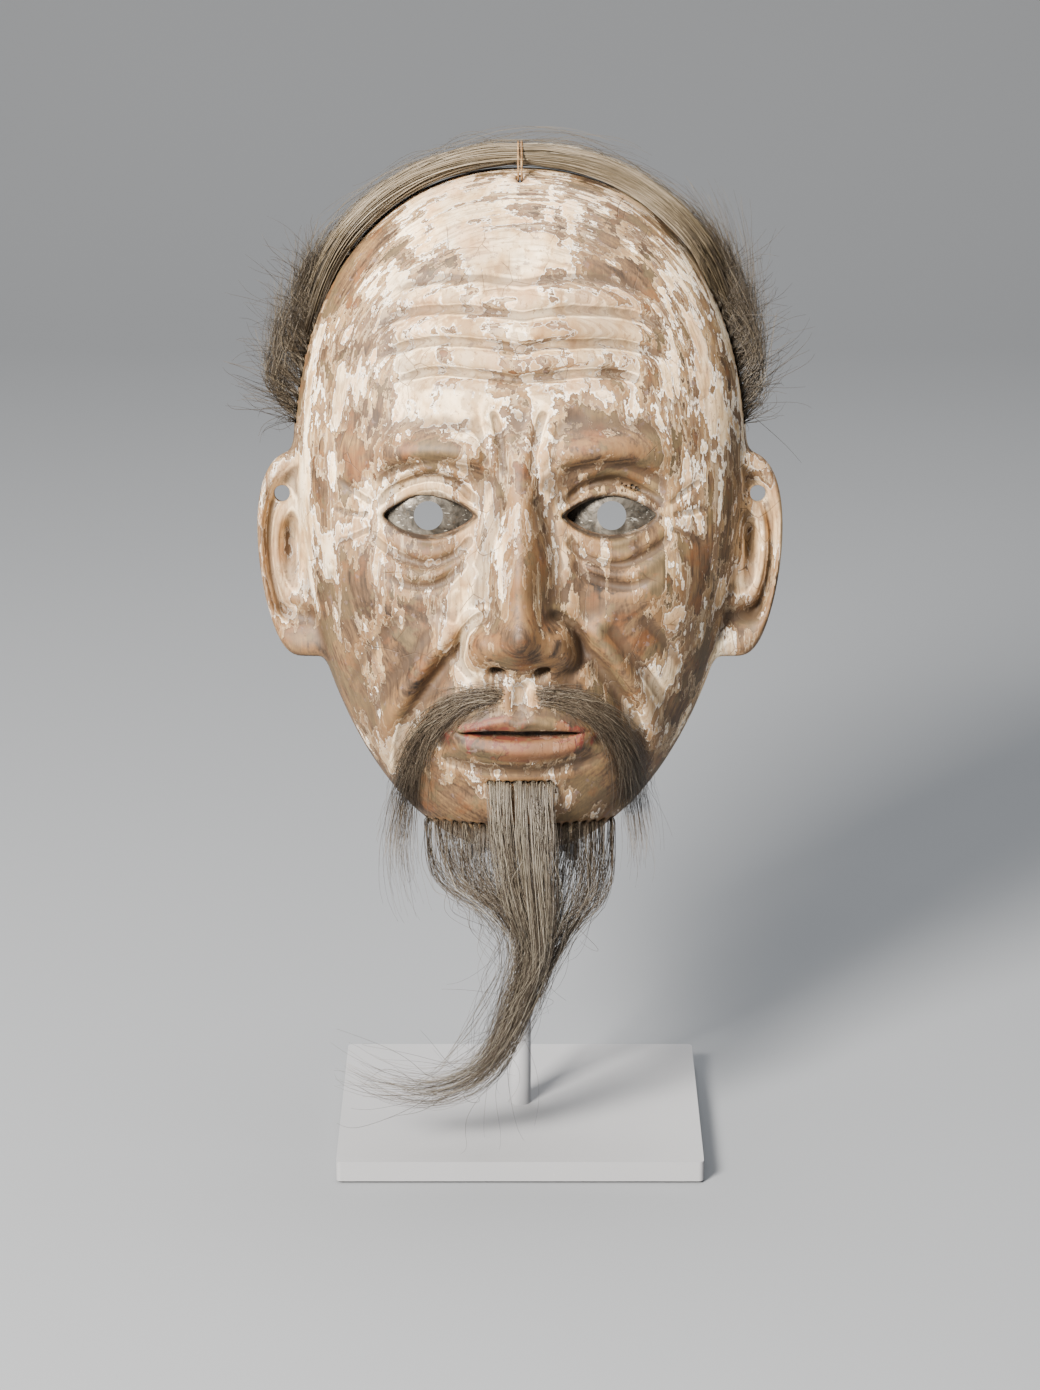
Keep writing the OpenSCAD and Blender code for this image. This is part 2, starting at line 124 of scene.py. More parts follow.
world = bpy.data.worlds.new("studio")
bpy.context.scene.world = world
world.use_nodes = True
world.node_tree.nodes["Background"].inputs["Color"].default_value = (0.80, 0.81, 0.83, 1)
world.node_tree.nodes["Background"].inputs["Strength"].default_value = 0.24

# ---- Materials ----


def linear(hex_code):
    """An sRGB colour such as "e8dccb", as linear RGBA."""
    values = [int(hex_code[i:i + 2], 16) / 255 for i in (0, 2, 4)]
    return tuple(x / 12.92 if x <= 0.04045 else ((x + 0.055) / 1.055) ** 2.4 for x in values) + (1.0,)


class Nodes:
    """A short way to write a material's nodes. Each method returns an output socket."""

    def __init__(self, name):
        self.material = bpy.data.materials.new(name)
        self.material.use_nodes = True
        self.tree = self.material.node_tree
        self.shader = self.tree.nodes["Principled BSDF"]
        self.coords = self.tree.nodes.new("ShaderNodeTexCoord").outputs["Object"]

    def wire(self, socket, value):
        if isinstance(value, bpy.types.NodeSocket):
            self.tree.links.new(value, socket)
        elif value is not None:
            socket.default_value = value

    def math(self, operation, a, b=None, clamp=False):
        node = self.tree.nodes.new("ShaderNodeMath")
        node.operation = operation
        node.use_clamp = clamp
        for socket, value in zip(node.inputs, (a, b)):
            self.wire(socket, value)
        return node.outputs[0]

    def add(self, *values):
        total = values[0]
        for value in values[1:]:
            total = self.math("ADD", total, value)
        return total

    def times(self, a, b):
        return self.math("MULTIPLY", a, b)

    def stretch(self, scale, turn=(0, 0, 0)):
        """The coordinates, scaled and turned: a small scale draws the pattern out that way."""
        node = self.tree.nodes.new("ShaderNodeMapping")
        self.wire(node.inputs["Vector"], self.coords)
        node.inputs["Scale"].default_value = scale
        node.inputs["Rotation"].default_value = turn
        return node.outputs[0]

    def noise(self, scale, vector=None, detail=4.0, rough=0.5, distortion=0.0):
        """Fractal noise whose largest spots are about scale millimetres across."""
        node = self.tree.nodes.new("ShaderNodeTexNoise")
        self.wire(node.inputs["Vector"], vector or self.coords)
        node.inputs["Scale"].default_value = 1 / (scale * MM)
        node.inputs["Detail"].default_value = detail
        node.inputs["Roughness"].default_value = rough
        node.inputs["Distortion"].default_value = distortion
        return node.outputs["Fac"]

    def cracks(self, scale, vector=None):
        node = self.tree.nodes.new("ShaderNodeTexVoronoi")
        node.feature = "DISTANCE_TO_EDGE"
        self.wire(node.inputs["Vector"], vector or self.coords)
        node.inputs["Scale"].default_value = 1 / (scale * MM)
        return node.outputs["Distance"]

    def ramp(self, value, stops):
        node = self.tree.nodes.new("ShaderNodeValToRGB")
        elements = node.color_ramp.elements
        while len(elements) < len(stops):
            elements.new(0.5)
        for element, (place, colour) in zip(elements, stops):
            element.position = place
            element.color = linear(colour)
        self.wire(node.inputs[0], value)
        return node.outputs[0]

    def step(self, value, edge, width, low=0.0, high=1.0):
        """low below the edge, high above it; the change is width wide."""
        node = self.tree.nodes.new("ShaderNodeMapRange")
        self.wire(node.inputs["Value"], value)
        node.inputs["From Min"].default_value = edge - width / 2
        node.inputs["From Max"].default_value = edge + width / 2
        node.inputs["To Min"].default_value = low
        node.inputs["To Max"].default_value = high
        return node.outputs[0]

    def mix(self, share, a, b):
        node = self.tree.nodes.new("ShaderNodeMix")
        node.data_type = "RGBA"
        self.wire(node.inputs[0], share)
        self.wire(node.inputs[6], linear(a) if isinstance(a, str) else a)
        self.wire(node.inputs[7], linear(b) if isinstance(b, str) else b)
        return node.outputs[2]

    def over(self, base, mask, share, tint):
        """A tint laid over a colour where the mask is, at no more than a share of full strength."""
        return self.mix(self.times(mask, share), base, tint)

    def band(self, value, low, low_width, high, high_width):
        """1 between two edges, each with its own width."""
        above, past = self.step(value, low, low_width), self.step(value, high, high_width)
        return self.math("SUBTRACT", above, past, clamp=True)

    def inverse(self, value):
        return self.math("SUBTRACT", 1.0, value)

    def attribute(self, name, output="Fac"):
        node = self.tree.nodes.new("ShaderNodeAttribute")
        node.attribute_name = name
        return node.outputs[output]

    def bump(self, height, distance, strength=1.0, normal=None):
        node = self.tree.nodes.new("ShaderNodeBump")
        node.inputs["Distance"].default_value = distance * MM
        node.inputs["Strength"].default_value = strength
        self.wire(node.inputs["Height"], height)
        self.wire(node.inputs["Normal"], normal)
        return node.outputs[0]

    def finish(self, colour=None, roughness=None, normal=None, **constants):
        self.wire(self.shader.inputs["Base Color"], colour)
        self.wire(self.shader.inputs["Roughness"], roughness)
        self.wire(self.shader.inputs["Normal"], normal)
        for name, value in constants.items():
            self.shader.inputs[name.replace("_", " ")].default_value = value
        return self.material


def matte_paint(name, light, dark):
    """Sprayed matt paint: faint mottling and a fine orange-peel skin."""
    n = Nodes(name)
    mottle = n.noise(38, detail=3)
    skin = n.noise(0.9, detail=3, rough=0.6)
    dust = n.step(n.noise(1.6, detail=5, rough=0.7), 0.69, 0.04)
    colour = n.mix(n.times(dust, 0.25), n.mix(mottle, dark, light), "c9c6c0")
    return n.finish(colour, n.step(mottle, 0.5, 0.6, 0.5, 0.62), n.bump(skin, 0.03, 0.35))


def felt(name, light, dark):
    n = Nodes(name)
    fibres = n.noise(0.5, n.stretch((1, 0.35, 1)), detail=6, rough=0.75)
    clumps = n.noise(3.5, detail=4)
    colour = n.mix(n.step(n.add(n.times(fibres, 0.7), n.times(clumps, 0.3)), 0.5, 0.3), dark, light)
    roughness = n.step(fibres, 0.5, 0.4, 0.9, 1.0)
    return n.finish(colour, roughness, n.bump(fibres, 0.25, 0.8), Sheen_Weight=0.35)


def rubber(name):
    n = Nodes(name)
    bloom = n.noise(4, detail=5, rough=0.6)
    roughness = n.step(bloom, 0.5, 0.4, 0.4, 0.6)
    return n.finish(n.mix(bloom, "c2beb4", "d8d5cc"), roughness, n.bump(n.noise(0.4), 0.02, 0.5))


def steel(name):
    n = Nodes(name)
    turned = n.noise(0.5, n.stretch((1, 1, 0.1)), detail=4)
    return n.finish(n.mix(turned, "8d9094", "b4b6b8"), n.step(turned, 0.5, 0.4, 0.22, 0.42),
                    n.bump(turned, 0.02, 0.5), Metallic=1.0)


def peg_wood(name):
    n = Nodes(name)
    grain = n.noise(0.8, n.stretch((1, 0.15, 1)), detail=6, rough=0.6)
    return n.finish(n.ramp(grain, [(0.3, "6e5536"), (0.6, "b0915f"), (0.8, "c6aa7a")]),
                    n.step(grain, 0.5, 0.4, 0.6, 0.8), n.bump(grain, 0.08, 0.6))


def eye_metal(name):
    """Old gilt copper plate, gone grey and blotched."""
    n = Nodes(name)
    blotch = n.noise(5, detail=8, rough=0.65, distortion=0.6)
    specks = n.step(n.noise(0.9, detail=5, rough=0.7), 0.6, 0.08)
    scratches = n.step(n.noise(0.7, n.stretch((0.12, 1, 1), turn=(0, 0, 0.6)), detail=3), 0.66, 0.03)
    colour = n.ramp(blotch, [(0.3, "100e0b"), (0.43, "312d26"), (0.54, "534e47"), (0.68, "787368")])
    colour = n.mix(n.times(specks, 0.6), colour, "4b3d2c")
    colour = n.mix(n.times(scratches, 0.5), colour, "c8c5bb")
    normal = n.bump(n.add(blotch, n.times(specks, 0.3)), 0.12, 0.6)
    return n.finish(colour, n.step(blotch, 0.5, 0.4, 0.66, 0.46), normal, Metallic=0.55)


def twine(name):
    n = Nodes(name)
    turn = n.step(n.noise(1.2, detail=5, rough=0.6), 0.5, 0.35)
    return n.finish(n.ramp(turn, [(0.0, "462c14"), (0.5, "73542f"), (1.0, "9e8560")]),
                    n.step(turn, 0.5, 0.6, 0.55, 0.8), n.bump(n.noise(0.3, detail=3), 0.05, 0.7))


def horsehair(name, stops):
    """Strands: each has its own shade, and it changes a little along the strand."""
    n = Nodes(name)
    shade = n.attribute("shade")
    along = n.noise(7, detail=3, rough=0.6)
    value = n.add(shade, n.times(n.math("SUBTRACT", along, 0.5), 0.35))
    n.shader.inputs["Specular IOR Level"].default_value = 0.45
    return n.finish(n.ramp(value, stops), n.step(along, 0.5, 0.4, 0.36, 0.52))


STAND_PAINT = matte_paint("stand_paint", "919295", "8a8b8e")
NODE_MATERIALS = {
    "base_plate": STAND_PAINT,
    "post": STAND_PAINT,
    "brow_bar": STAND_PAINT,
    "chin_cradle": STAND_PAINT,
    "cradle_sleeves": rubber("sleeve_rubber"),
    "post_screw": steel("screw_steel"),
}
EYE_METAL = eye_metal("eye_metal")
PEG_WOOD = peg_wood("peg_wood")
for name in ("eye_plate_left", "eye_plate_right"):
    NODE_MATERIALS[name] = EYE_METAL
for name in ("temple_pegs_left", "temple_pegs_right", "lip_pegs", "chin_pegs"):
    NODE_MATERIALS[name] = PEG_WOOD
for name, material in NODE_MATERIALS.items():
    nodes[name].data.materials.clear()
    nodes[name].data.materials.append(material)


# ---- Mesh helpers ----


def make_mesh(name, points, faces, material, smooth=True, attributes=None, uv=None):
    """A mesh object from millimetre points and an array of triangles or quads."""
    mesh = bpy.data.meshes.new(name)
    points = np.ascontiguousarray(points, np.float32) * MM
    faces = np.ascontiguousarray(faces, np.int32)
    sides = faces.shape[1]
    mesh.vertices.add(len(points))
    mesh.vertices.foreach_set("co", points.ravel())
    mesh.loops.add(faces.size)
    mesh.loops.foreach_set("vertex_index", faces.ravel())
    mesh.polygons.add(len(faces))
    mesh.polygons.foreach_set("loop_start", np.arange(0, faces.size, sides, dtype=np.int32))
    mesh.update(calc_edges=True)
    mesh.polygons.foreach_set("use_smooth", np.full(len(faces), smooth))
    for key, values in (attributes or {}).items():
        values = np.ascontiguousarray(values, np.float32)
        is_place = values.ndim == 2
        layer = mesh.attributes.new(key, "FLOAT_VECTOR" if is_place else "FLOAT", "POINT")
        layer.data.foreach_set("vector" if is_place else "value", values.ravel())
    if uv is not None:
        layer = mesh.uv_layers.new(name="OFBake")
        layer.data.foreach_set("uv", np.ascontiguousarray(uv[faces.ravel()], np.float32).ravel())
    mesh.materials.append(material)
    obj = bpy.data.objects.new(name, mesh)
    bpy.context.scene.collection.objects.link(obj)
    return obj


def wear(obj, body, slot, *replaced):
    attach(obj, body)
    if replaced:
        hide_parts(*replaced)
    return obj


def smooth_step(x, low, high):
    t = np.clip((x - low) / (high - low), 0, 1)
    return t * t * (3 - 2 * t)


def spline(points, count, closed=False):
    """count points along a smooth line through points, an array of lines of any shape (..., n, 3)."""
    p = np.asarray(points, float)
    if closed:
        p = np.concatenate([p[..., -1:, :], p, p[..., :2, :]], -2)
        place = np.linspace(1, p.shape[-2] - 2, count, endpoint=False)
    else:
        before = 2 * p[..., :1, :] - p[..., 1:2, :]
        after = 2 * p[..., -1:, :] - p[..., -2:-1, :]
        p = np.concatenate([before, p, after], -2)
        place = np.linspace(1, p.shape[-2] - 2, count)
    i = np.minimum(place.astype(int), p.shape[-2] - 3)
    f = (place - i)[:, None]
    a, b, c, d = (p[..., i + k, :] for k in (-1, 0, 1, 2))
    square, cube = 2 * a - 5 * b + 4 * c - d, 3 * b - a - 3 * c + d
    return 0.5 * (2 * b + (c - a) * f + square * f ** 2 + cube * f ** 3)


# ---- The carved face ----

FACE_HALF_H, FACE_HALF_W, FACE_DEPTH, WALL = 104.0, 68.0, 48.0, 7.0
EGG_TAPER, OUTLINE_POWER, DOME_POWER, DOME_EDGE = 0.13, 2.15, 2.6, 0.45
HOLLOW_SHARE = 0.55
EYE = (27.0, 1.0)
MOUTH_V, MOUTH_H, MOUTH_TILT = -64.0, 3.2, math.radians(19)
# Each form is [across, up, half width, half height, relief], and is mirrored across the face.
FACE_FORMS = [
    (0, 58, 42, 34, 2.5), (24, 19, 19, 6, 5), (27, 5, 15, 11, -9), (27, 1, 12, 8, 5), (0, 4, 6, 16, 6.3),
    (0, -18, 8, 14, 12.6), (0, -35, 9, 9, 14.4), (11, -38, 5.5, 6, 6.3), (43, -20, 15, 15, 4.5),
    (46, -58, 14, 22, -3), (0, -64, 24, 16, 5), (0, -80, 16, 4, -2.5), (0, -91, 18, 10, 6),
]
# Forms that only the eye sees: carved a little deeper or fuller than the CAD solid
FINE_FORMS = [
    (54, 28, 9, 18, -2.0), (23, -65.5, 2.6, 2.2, -2.2), (0, 30, 7, 6, -0.8), (24, 27, 17, 4, -0.6),
    (0, -35, 5, 5, 0.8), (30, 78, 16, 12, -0.7), (52, -2, 6, 12, -1.0), (0, -88, 9, 6, 0.8),
]
# Chisel strokes: points (across, up), half width and relief; "groove" raises a lip on both its sides
STROKES = [
    ("groove", [(0, 41), (12, 42.5), (26, 43), (38, 39.5)], 2.0, -2.0),
    ("groove", [(0, 50.5), (14, 52), (30, 51.5), (45, 46)], 2.1, -2.2),
    ("groove", [(0, 60), (14, 61.5), (31, 60.5), (47, 54)], 2.1, -2.0),
    ("groove", [(0, 69.5), (13, 70.8), (28, 69.5), (40, 65)], 1.9, -1.1),
    ("ridge", [(8, 17), (20, 21.5), (34, 20.5), (45, 13)], 4.6, 1.4),
    ("groove", [(12, 13.5), (24, 16.5), (36, 14.5), (44, 9)], 1.8, -1.1),
    ("groove", [(3.6, 7), (7, 1), (10.5, -10), (12, -22)], 2.4, -1.1),
    ("groove", [(4.2, 12), (4.6, 20), (6.4, 28), (8, 33)], 1.6, -1.5),
    ("groove", [(9.5, 15), (10.5, 22), (13, 28)], 1.4, -0.9),
    ("groove", [(13, 4), (20, 10.2), (29, 11.8), (38, 8), (44, 2)], 1.4, -1.8),
    ("ridge", [(13.5, 0.6), (20, 6.8), (27, 8.4), (34, 6.8), (41, 0.6)], 1.3, 1.3),
    ("ridge", [(13.5, 0.6), (20, -4.8), (27, -6.4), (34, -4.8), (41, 0.6)], 1.2, 1.1),
    ("groove", [(13, -5), (20, -11), (30, -13), (41, -8), (46, -2)], 1.8, -1.9),
    ("groove", [(15, -11), (22, -17.5), (32, -19.5), (43, -15)], 1.8, -1.4),
    ("groove", [(44, 4), (49, 7.5), (55, 12)], 1.1, -1.0),
    ("groove", [(45, 1), (51, 1.5), (57, 3)], 1.1, -1.0),
    ("groove", [(44, -2.5), (50, -5.5), (56, -8)], 1.1, -0.9),
    ("groove", [(7.5, -27), (13.5, -29.5), (17.6, -35), (17.2, -42), (13, -46.5)], 1.7, -2.4),
    ("ridge", [(10, -33.5), (13.8, -36), (14.2, -41), (11, -44.5)], 2.2, 1.5),
    ("ridge", [(0, 2), (0, -12), (0, -26)], 4.2, 0.7),
    ("fold", [(14.5, -31), (21, -41), (28, -51), (34, -62), (37, -74), (37, -84)], 3.0, -3.8),
    ("groove", [(24, -30), (31, -40), (39, -50), (43, -62)], 2.4, -1.4),
    ("groove", [(34, -27), (43, -37), (50, -48), (51, -60)], 2.4, -1.1),
    ("groove", [(43, -66), (46, -77), (43, -87)], 2.2, -1.3),
    ("groove", [(56, -14), (60, -28), (59, -42)], 2.0, -1.0),
    ("groove", [(0, -49), (0, -57)], 2.0, -1.2),
    ("ridge", [(3.4, -49), (4.0, -57)], 1.3, 0.9),
    ("ridge", [(0, -60.2), (4, -59.0), (10, -60.3), (17, -62.2), (22, -64.6)], 1.7, 1.7),
    ("ridge", [(0, -68.6), (8, -68.4), (15, -67.3), (21, -65.6)], 2.2, 2.2),
    ("groove", [(0, -74.6), (10, -74.2), (18, -72.6), (25, -70.4)], 2.0, -1.5),
    ("ridge", [(12, -14), (15, -20), (16, -27)], 2.6, 0.8),
]
GRID_STEP = 0.7
axis_u = np.arange(-84, 84.01, GRID_STEP)
axis_v = np.arange(-107, 107.01, GRID_STEP)
axis_w = np.arange(-1.4, 70.0, GRID_STEP)
map_u, map_v = np.meshgrid(axis_u, axis_v, indexing="ij")


def lattice_noise(u, v, cell, seed):
    """Smooth noise from -1 to 1 with features about cell across."""
    table = np.random.default_rng(seed).uniform(-1, 1, (64, 64))
    x, y = u / cell + 256.0, v / cell + 256.0
    i, j = np.floor(x).astype(int), np.floor(y).astype(int)
    fx, fy = x - i, y - j
    fx, fy = fx * fx * (3 - 2 * fx), fy * fy * (3 - 2 * fy)
    at = [table[(i + a) % 64, (j + b) % 64] for a in (0, 1) for b in (0, 1)]
    return (at[0] * (1 - fy) + at[1] * fy) * (1 - fx) + (at[2] * (1 - fy) + at[3] * fy) * fx


def share_out(u, v, inset=0.0):
    """0 in the middle of the face and 1 on its outline."""
    half_w = FACE_HALF_W * (1 + EGG_TAPER * v / FACE_HALF_H) - inset
    across, up = np.abs(u) / half_w, np.abs(v) / (FACE_HALF_H - inset)
    return (across ** OUTLINE_POWER + up ** OUTLINE_POWER) ** (1 / OUTLINE_POWER)


def outline_at(a, outside=0.0):
    """Point on the outline in direction a (degrees), moved outwards, and the way out there."""
    def on_it(q):
        q = np.radians(q)
        n = (np.abs(np.cos(q)) ** OUTLINE_POWER + np.abs(np.sin(q)) ** OUTLINE_POWER) ** (1 / OUTLINE_POWER)
        v = FACE_HALF_H * np.sin(q) / n
        return np.stack([FACE_HALF_W * (1 + EGG_TAPER * v / FACE_HALF_H) * np.cos(q) / n, v], -1)
    along = on_it(a + 1) - on_it(a - 1)
    normal = np.stack([along[..., 1], -along[..., 0]], -1)
    normal /= np.linalg.norm(normal, axis=-1, keepdims=True)
    return on_it(a) + outside * normal, normal


def forms(u, v, rows, raised=1.0):
    total = np.zeros_like(u)
    for x, y, half_w, half_h, height in rows:
        share = raised if height > 0 else 1.0
        total += height * share * np.exp(-((np.abs(u) - x) / half_w) ** 2 - ((v - y) / half_h) ** 2)
    return total


def near_line(u, v, line):
    """Distance to a line, which side of it, and how far along it (0 to 1), at each point."""
    best = np.full(u.shape, 1e9)
    side, along = np.zeros(u.shape), np.zeros(u.shape)
    for k in range(len(line) - 1):
        (x0, y0), (x1, y1) = line[k], line[k + 1]
        dx, dy = x1 - x0, y1 - y0
        t = np.clip(((u - x0) * dx + (v - y0) * dy) / (dx * dx + dy * dy), 0, 1)
        ex, ey = u - x0 - t * dx, v - y0 - t * dy
        d = np.hypot(ex, ey)
        closer = d < best
        best = np.where(closer, d, best)
        side = np.where(closer, np.sign(dx * ey - dy * ex), side)
        along = np.where(closer, (k + t) / (len(line) - 1), along)
    return best, side, along


def stroke(u, v, kind, points, half_w, height):
    line = spline(np.pad(np.array(points, float), ((0, 0), (0, 1))), 22)[:, :2]
    d, side, along = near_line(np.abs(u), v, line)
    q = d / half_w
    ends = smooth_step(along, 1.0, 0.72) * (smooth_step(along, 0.0, 0.12) if points[0][0] else 1.0)
    ends = ends * np.exp(-np.maximum(0, q - 3) ** 2)
    if kind == "ridge":
        return height * np.exp(-q ** 2) * (0.35 + 0.65 * ends)
    if kind == "groove":
        return height * (1 - 0.62 * q ** 2) * np.exp(-0.62 * q ** 2) * ends
    bulge = -0.8 * height * np.exp(-((q * side - 1.9) / 1.5) ** 2)
    return (height * np.exp(-q ** 2) + bulge) * ends


def blurred(values, width):
    """Gaussian blur of a map; width is in millimetres."""
    reach = int(3 * width / GRID_STEP)
    kernel = np.exp(-0.5 * (np.arange(-reach, reach + 1) * GRID_STEP / width) ** 2)
    kernel /= kernel.sum()
    for axis in (0, 1):
        values = np.moveaxis(values, axis, 0)
        padded = np.concatenate([values[:1].repeat(reach, 0), values, values[-1:].repeat(reach, 0)])
        values = sum(k * padded[i:i + len(values)] for i, k in enumerate(kernel))
        values = np.moveaxis(values, 0, axis)
    return values


# The carver's hand: nothing is exactly the same on both sides
hand_u = map_u + 0.8 * lattice_noise(map_u, map_v, 31, 1) + 0.25 * lattice_noise(map_u, map_v, 9, 2)
hand_v = map_v + 0.9 * lattice_noise(map_u, map_v, 27, 3) + 0.3 * lattice_noise(map_u, map_v, 8, 4)
relief_map = forms(map_u, map_v, FACE_FORMS) + forms(hand_u, hand_v, FINE_FORMS)
for kind, points, half_w, height in STROKES:
    relief_map += stroke(hand_u, hand_v, kind, points, half_w, height)
relief_map += 0.22 * lattice_noise(map_u, map_v, 7, 5) + 0.10 * lattice_noise(map_u, map_v, 3, 6)
share_map = share_out(map_u, map_v)
relief_map *= 1 - np.minimum(1, share_map) ** 6

# The hollow follows the forms less closely, and is left with the marks of a round gouge
hollow_map = forms(map_u, map_v, FACE_FORMS, HOLLOW_SHARE)
gouge_seeds = np.random.default_rng(7).uniform((-70, -104), (70, 104), (560, 2))
nearest = np.full(map_u.shape, 9.0)
for x, y in gouge_seeds:
    nearest = np.minimum(nearest, ((map_u - x) / 4.2) ** 2 + ((map_v - y) / 8.5) ** 2)
hollow_share_map = share_out(map_u, map_v, WALL)
hollow_map = (hollow_map + 0.45 * (1 - np.minimum(1, nearest))) * (1 - np.minimum(1, hollow_share_map) ** 6)


def smooth_max(a, b, reach):
    h = np.maximum(reach - np.abs(a - b), 0) / reach
    return np.maximum(a, b) + h * h * reach / 4


def dome_field(share, heights, depth, scale):
    """Negative inside a dome whose surface carries the relief; close to millimetres near the surface."""
    up = np.maximum(axis_w[None, None, :] - heights[:, :, None], 0) / depth
    rho = (share ** DOME_POWER)[:, :, None] + up ** (1 / DOME_EDGE)
    return ((rho ** (1 / 2.4) - 1) * scale).astype(np.float32)


def window(low, high):
    """Slices of the grid between two corners, and its coordinates there."""
    cut = tuple(slice(max(0, np.searchsorted(a, lo) - 1), np.searchsorted(a, hi) + 1)
                for a, lo, hi in zip((axis_u, axis_v, axis_w), low, high))
    return cut, np.meshgrid(axis_u[cut[0]], axis_v[cut[1]], axis_w[cut[2]], indexing="ij")


def carve(field, low, high, solid, reach=0.8):
    """Cuts away a solid, given as a function that is negative inside it."""
    cut, (u, v, w) = window(low, high)
    field[cut] = smooth_max(field[cut], -solid(u, v, w), reach)


def rod(start, end, radius):
    """A round-ended rod as a solid."""
    start, end = np.array(start, float), np.array(end, float)
    d = end - start

    def solid(u, v, w):
        p = np.stack([u, v, w], -1) - start
        t = np.clip(p @ d / (d @ d), 0, 1)
        return np.linalg.norm(p - t[..., None] * d, axis=-1) - radius
    return solid


def drill(field, start, end, radius, reach=0.5):
    low = np.minimum(start, end) - radius - 2
    high = np.maximum(start, end) + radius + 2
    carve(field, low, high, rod(start, end, radius), reach)


def lens(u, v, width, height):
    r = (width * width + height * height) / (4 * height)
    return np.maximum(np.hypot(u, v - (r - height / 2)), np.hypot(u, v + (r - height / 2))) - r


def ear_field(u, v, w):
    """An ear: a thick leaf with a rolled rim, an inner fold, a deep bowl and a soft lobe."""
    u = np.abs(u)
    s = np.clip((v + 12) / 32, -1.4, 1.4)
    reach = 15 * (1 + 0.2 * np.clip(s, -1, 1)) / 1.05
    x = np.maximum(u - 65, 0) / reach
    e = np.sqrt(x ** 2.857 + s ** 2)
    lobe = smooth_step(v, -27, -36)
    top = 13.6 - 0.10 * (u - 66)
    top += 1.3 * np.exp(-((e - 0.88) / 0.09) ** 2) * (1 - 0.5 * lobe)
    top -= 4.8 * np.exp(-((e - 0.67) / 0.11) ** 2) * (1 - lobe)
    top += 0.9 * np.exp(-((e - 0.46) / 0.09) ** 2) * (1 - lobe)
    top -= 8.0 * np.exp(-((u - 69.3) / 3.0) ** 2 - ((v + 9) / 9.5) ** 2)
    top += 2.0 * np.exp(-((u - 66.0) / 1.9) ** 2 - ((v + 11) / 4.5) ** 2)
    top -= 1.4 * np.exp(-((u - 70) / 5) ** 2 - ((v + 29) / 2.4) ** 2)
    outline = (e - 1) * 13.5 + 0.35
    slab = np.maximum(w - top, 3.3 - w)
    return smooth_max(smooth_max(outline, slab, 2.4), 58 - u, 1.0)


face_field = dome_field(share_map, relief_map, FACE_DEPTH, 56.0)
for low_u, high_u in ((-84, -58), (58, 84)):
    cut, (u, v, w) = window((low_u, -48, -1.4), (high_u, 24, 18))
    face_field[cut] = -smooth_max(-face_field[cut], -ear_field(u, v, w), 2.2)
inner_field = dome_field(hollow_share_map, hollow_map, FACE_DEPTH - WALL, 50.0)
field = smooth_max(face_field, -inner_field, 1.2)
field = smooth_max(field, np.broadcast_to(-axis_w.astype(np.float32), field.shape), 1.2)


def face_z(u, v):
    """Height of the CAD face at a point."""
    share = np.minimum(1, share_out(np.asarray(u, float), np.asarray(v, float)))
    dome = FACE_DEPTH * np.maximum(0, 1 - share ** DOME_POWER) ** DOME_EDGE
    return dome + (1 - share ** 6) * forms(np.asarray(u, float), np.asarray(v, float), FACE_FORMS)


EYE_TOP = float(face_z(*EYE)) - 3
PLATE_R, PLATE_HALF = 24.05, 14.05


def eye_opening(side):
    def solid(u, v, w):
        flare = np.clip((w - EYE_TOP) * 0.22, 0, 1.2)
        opening = lens(u - side * EYE[0], v - EYE[1], 27, 11) - flare
        return np.maximum(opening, EYE_TOP - 4 - w)
    return solid


def eye_pocket(side):
    def solid(u, v, w):
        r = np.hypot(u - side * EYE[0], v - EYE[1])
        ball = np.hypot(r, w - (EYE_TOP - 24)) - PLATE_R
        return np.maximum(np.maximum(r - PLATE_HALF, ball), EYE_TOP - 22 - w)
    return solid


NOSTRIL_WAY = np.array([0, math.sin(math.radians(110)), math.cos(math.radians(110))])
LIP_TUFTS, CHIN_TUFTS, TEMPLE_TUFTS = 8, 21, 14
LIP_V, CHIN_V, TEMPLE_W = -79.0, -93.0, 9.0
LIP_TILT, CHIN_TILT = math.radians(12), math.radians(30)


def row_root(i, count, pitch, v, tilt):
    """Where tuft i of a level row leaves the wood, and which way it points."""
    u = (i - (count - 1) / 2) * pitch
    return np.array([u, v, float(face_z(u, v))]), np.array([0, -math.sin(tilt), math.cos(tilt)])


def lip_root(i):
    return row_root(i, LIP_TUFTS, 2.5, LIP_V, LIP_TILT)


def chin_root(i):
    return row_root(i, CHIN_TUFTS, 2.75, CHIN_V, CHIN_TILT)


def temple_root(i, side):
    place, normal = outline_at(15.5 + 26 * i / (TEMPLE_TUFTS - 1), -1.0)
    return np.array([side * place[0], place[1], TEMPLE_W]), np.array([side * normal[0], normal[1], 0.0])


for side in (-1, 1):
    u, v = side * EYE[0], EYE[1]
    carve(field, (u - 17, v - 8, EYE_TOP - 5), (u + 17, v + 8, 66), eye_opening(side), 1.0)
    carve(field, (u - 15, v - 15, EYE_TOP - 23), (u + 15, v + 15, EYE_TOP + 1), eye_pocket(side), 0.3)
    nostril = np.array([side * 6.5, -44, 49.5])
    drill(field, nostril - 12 * NOSTRIL_WAY, nostril + 12 * NOSTRIL_WAY, 2.5, 1.4)
    drill(field, (side * CORD_HOLE[0], CORD_HOLE[1], 0), (side * CORD_HOLE[0], CORD_HOLE[1], 19), 2.5, 0.6)
    for i in range(TEMPLE_TUFTS):
        root, way = temple_root(i, side)
        drill(field, root - 12 * way, root + 3 * way, 1.0)
mouth_w = float(face_z(0, MOUTH_V))


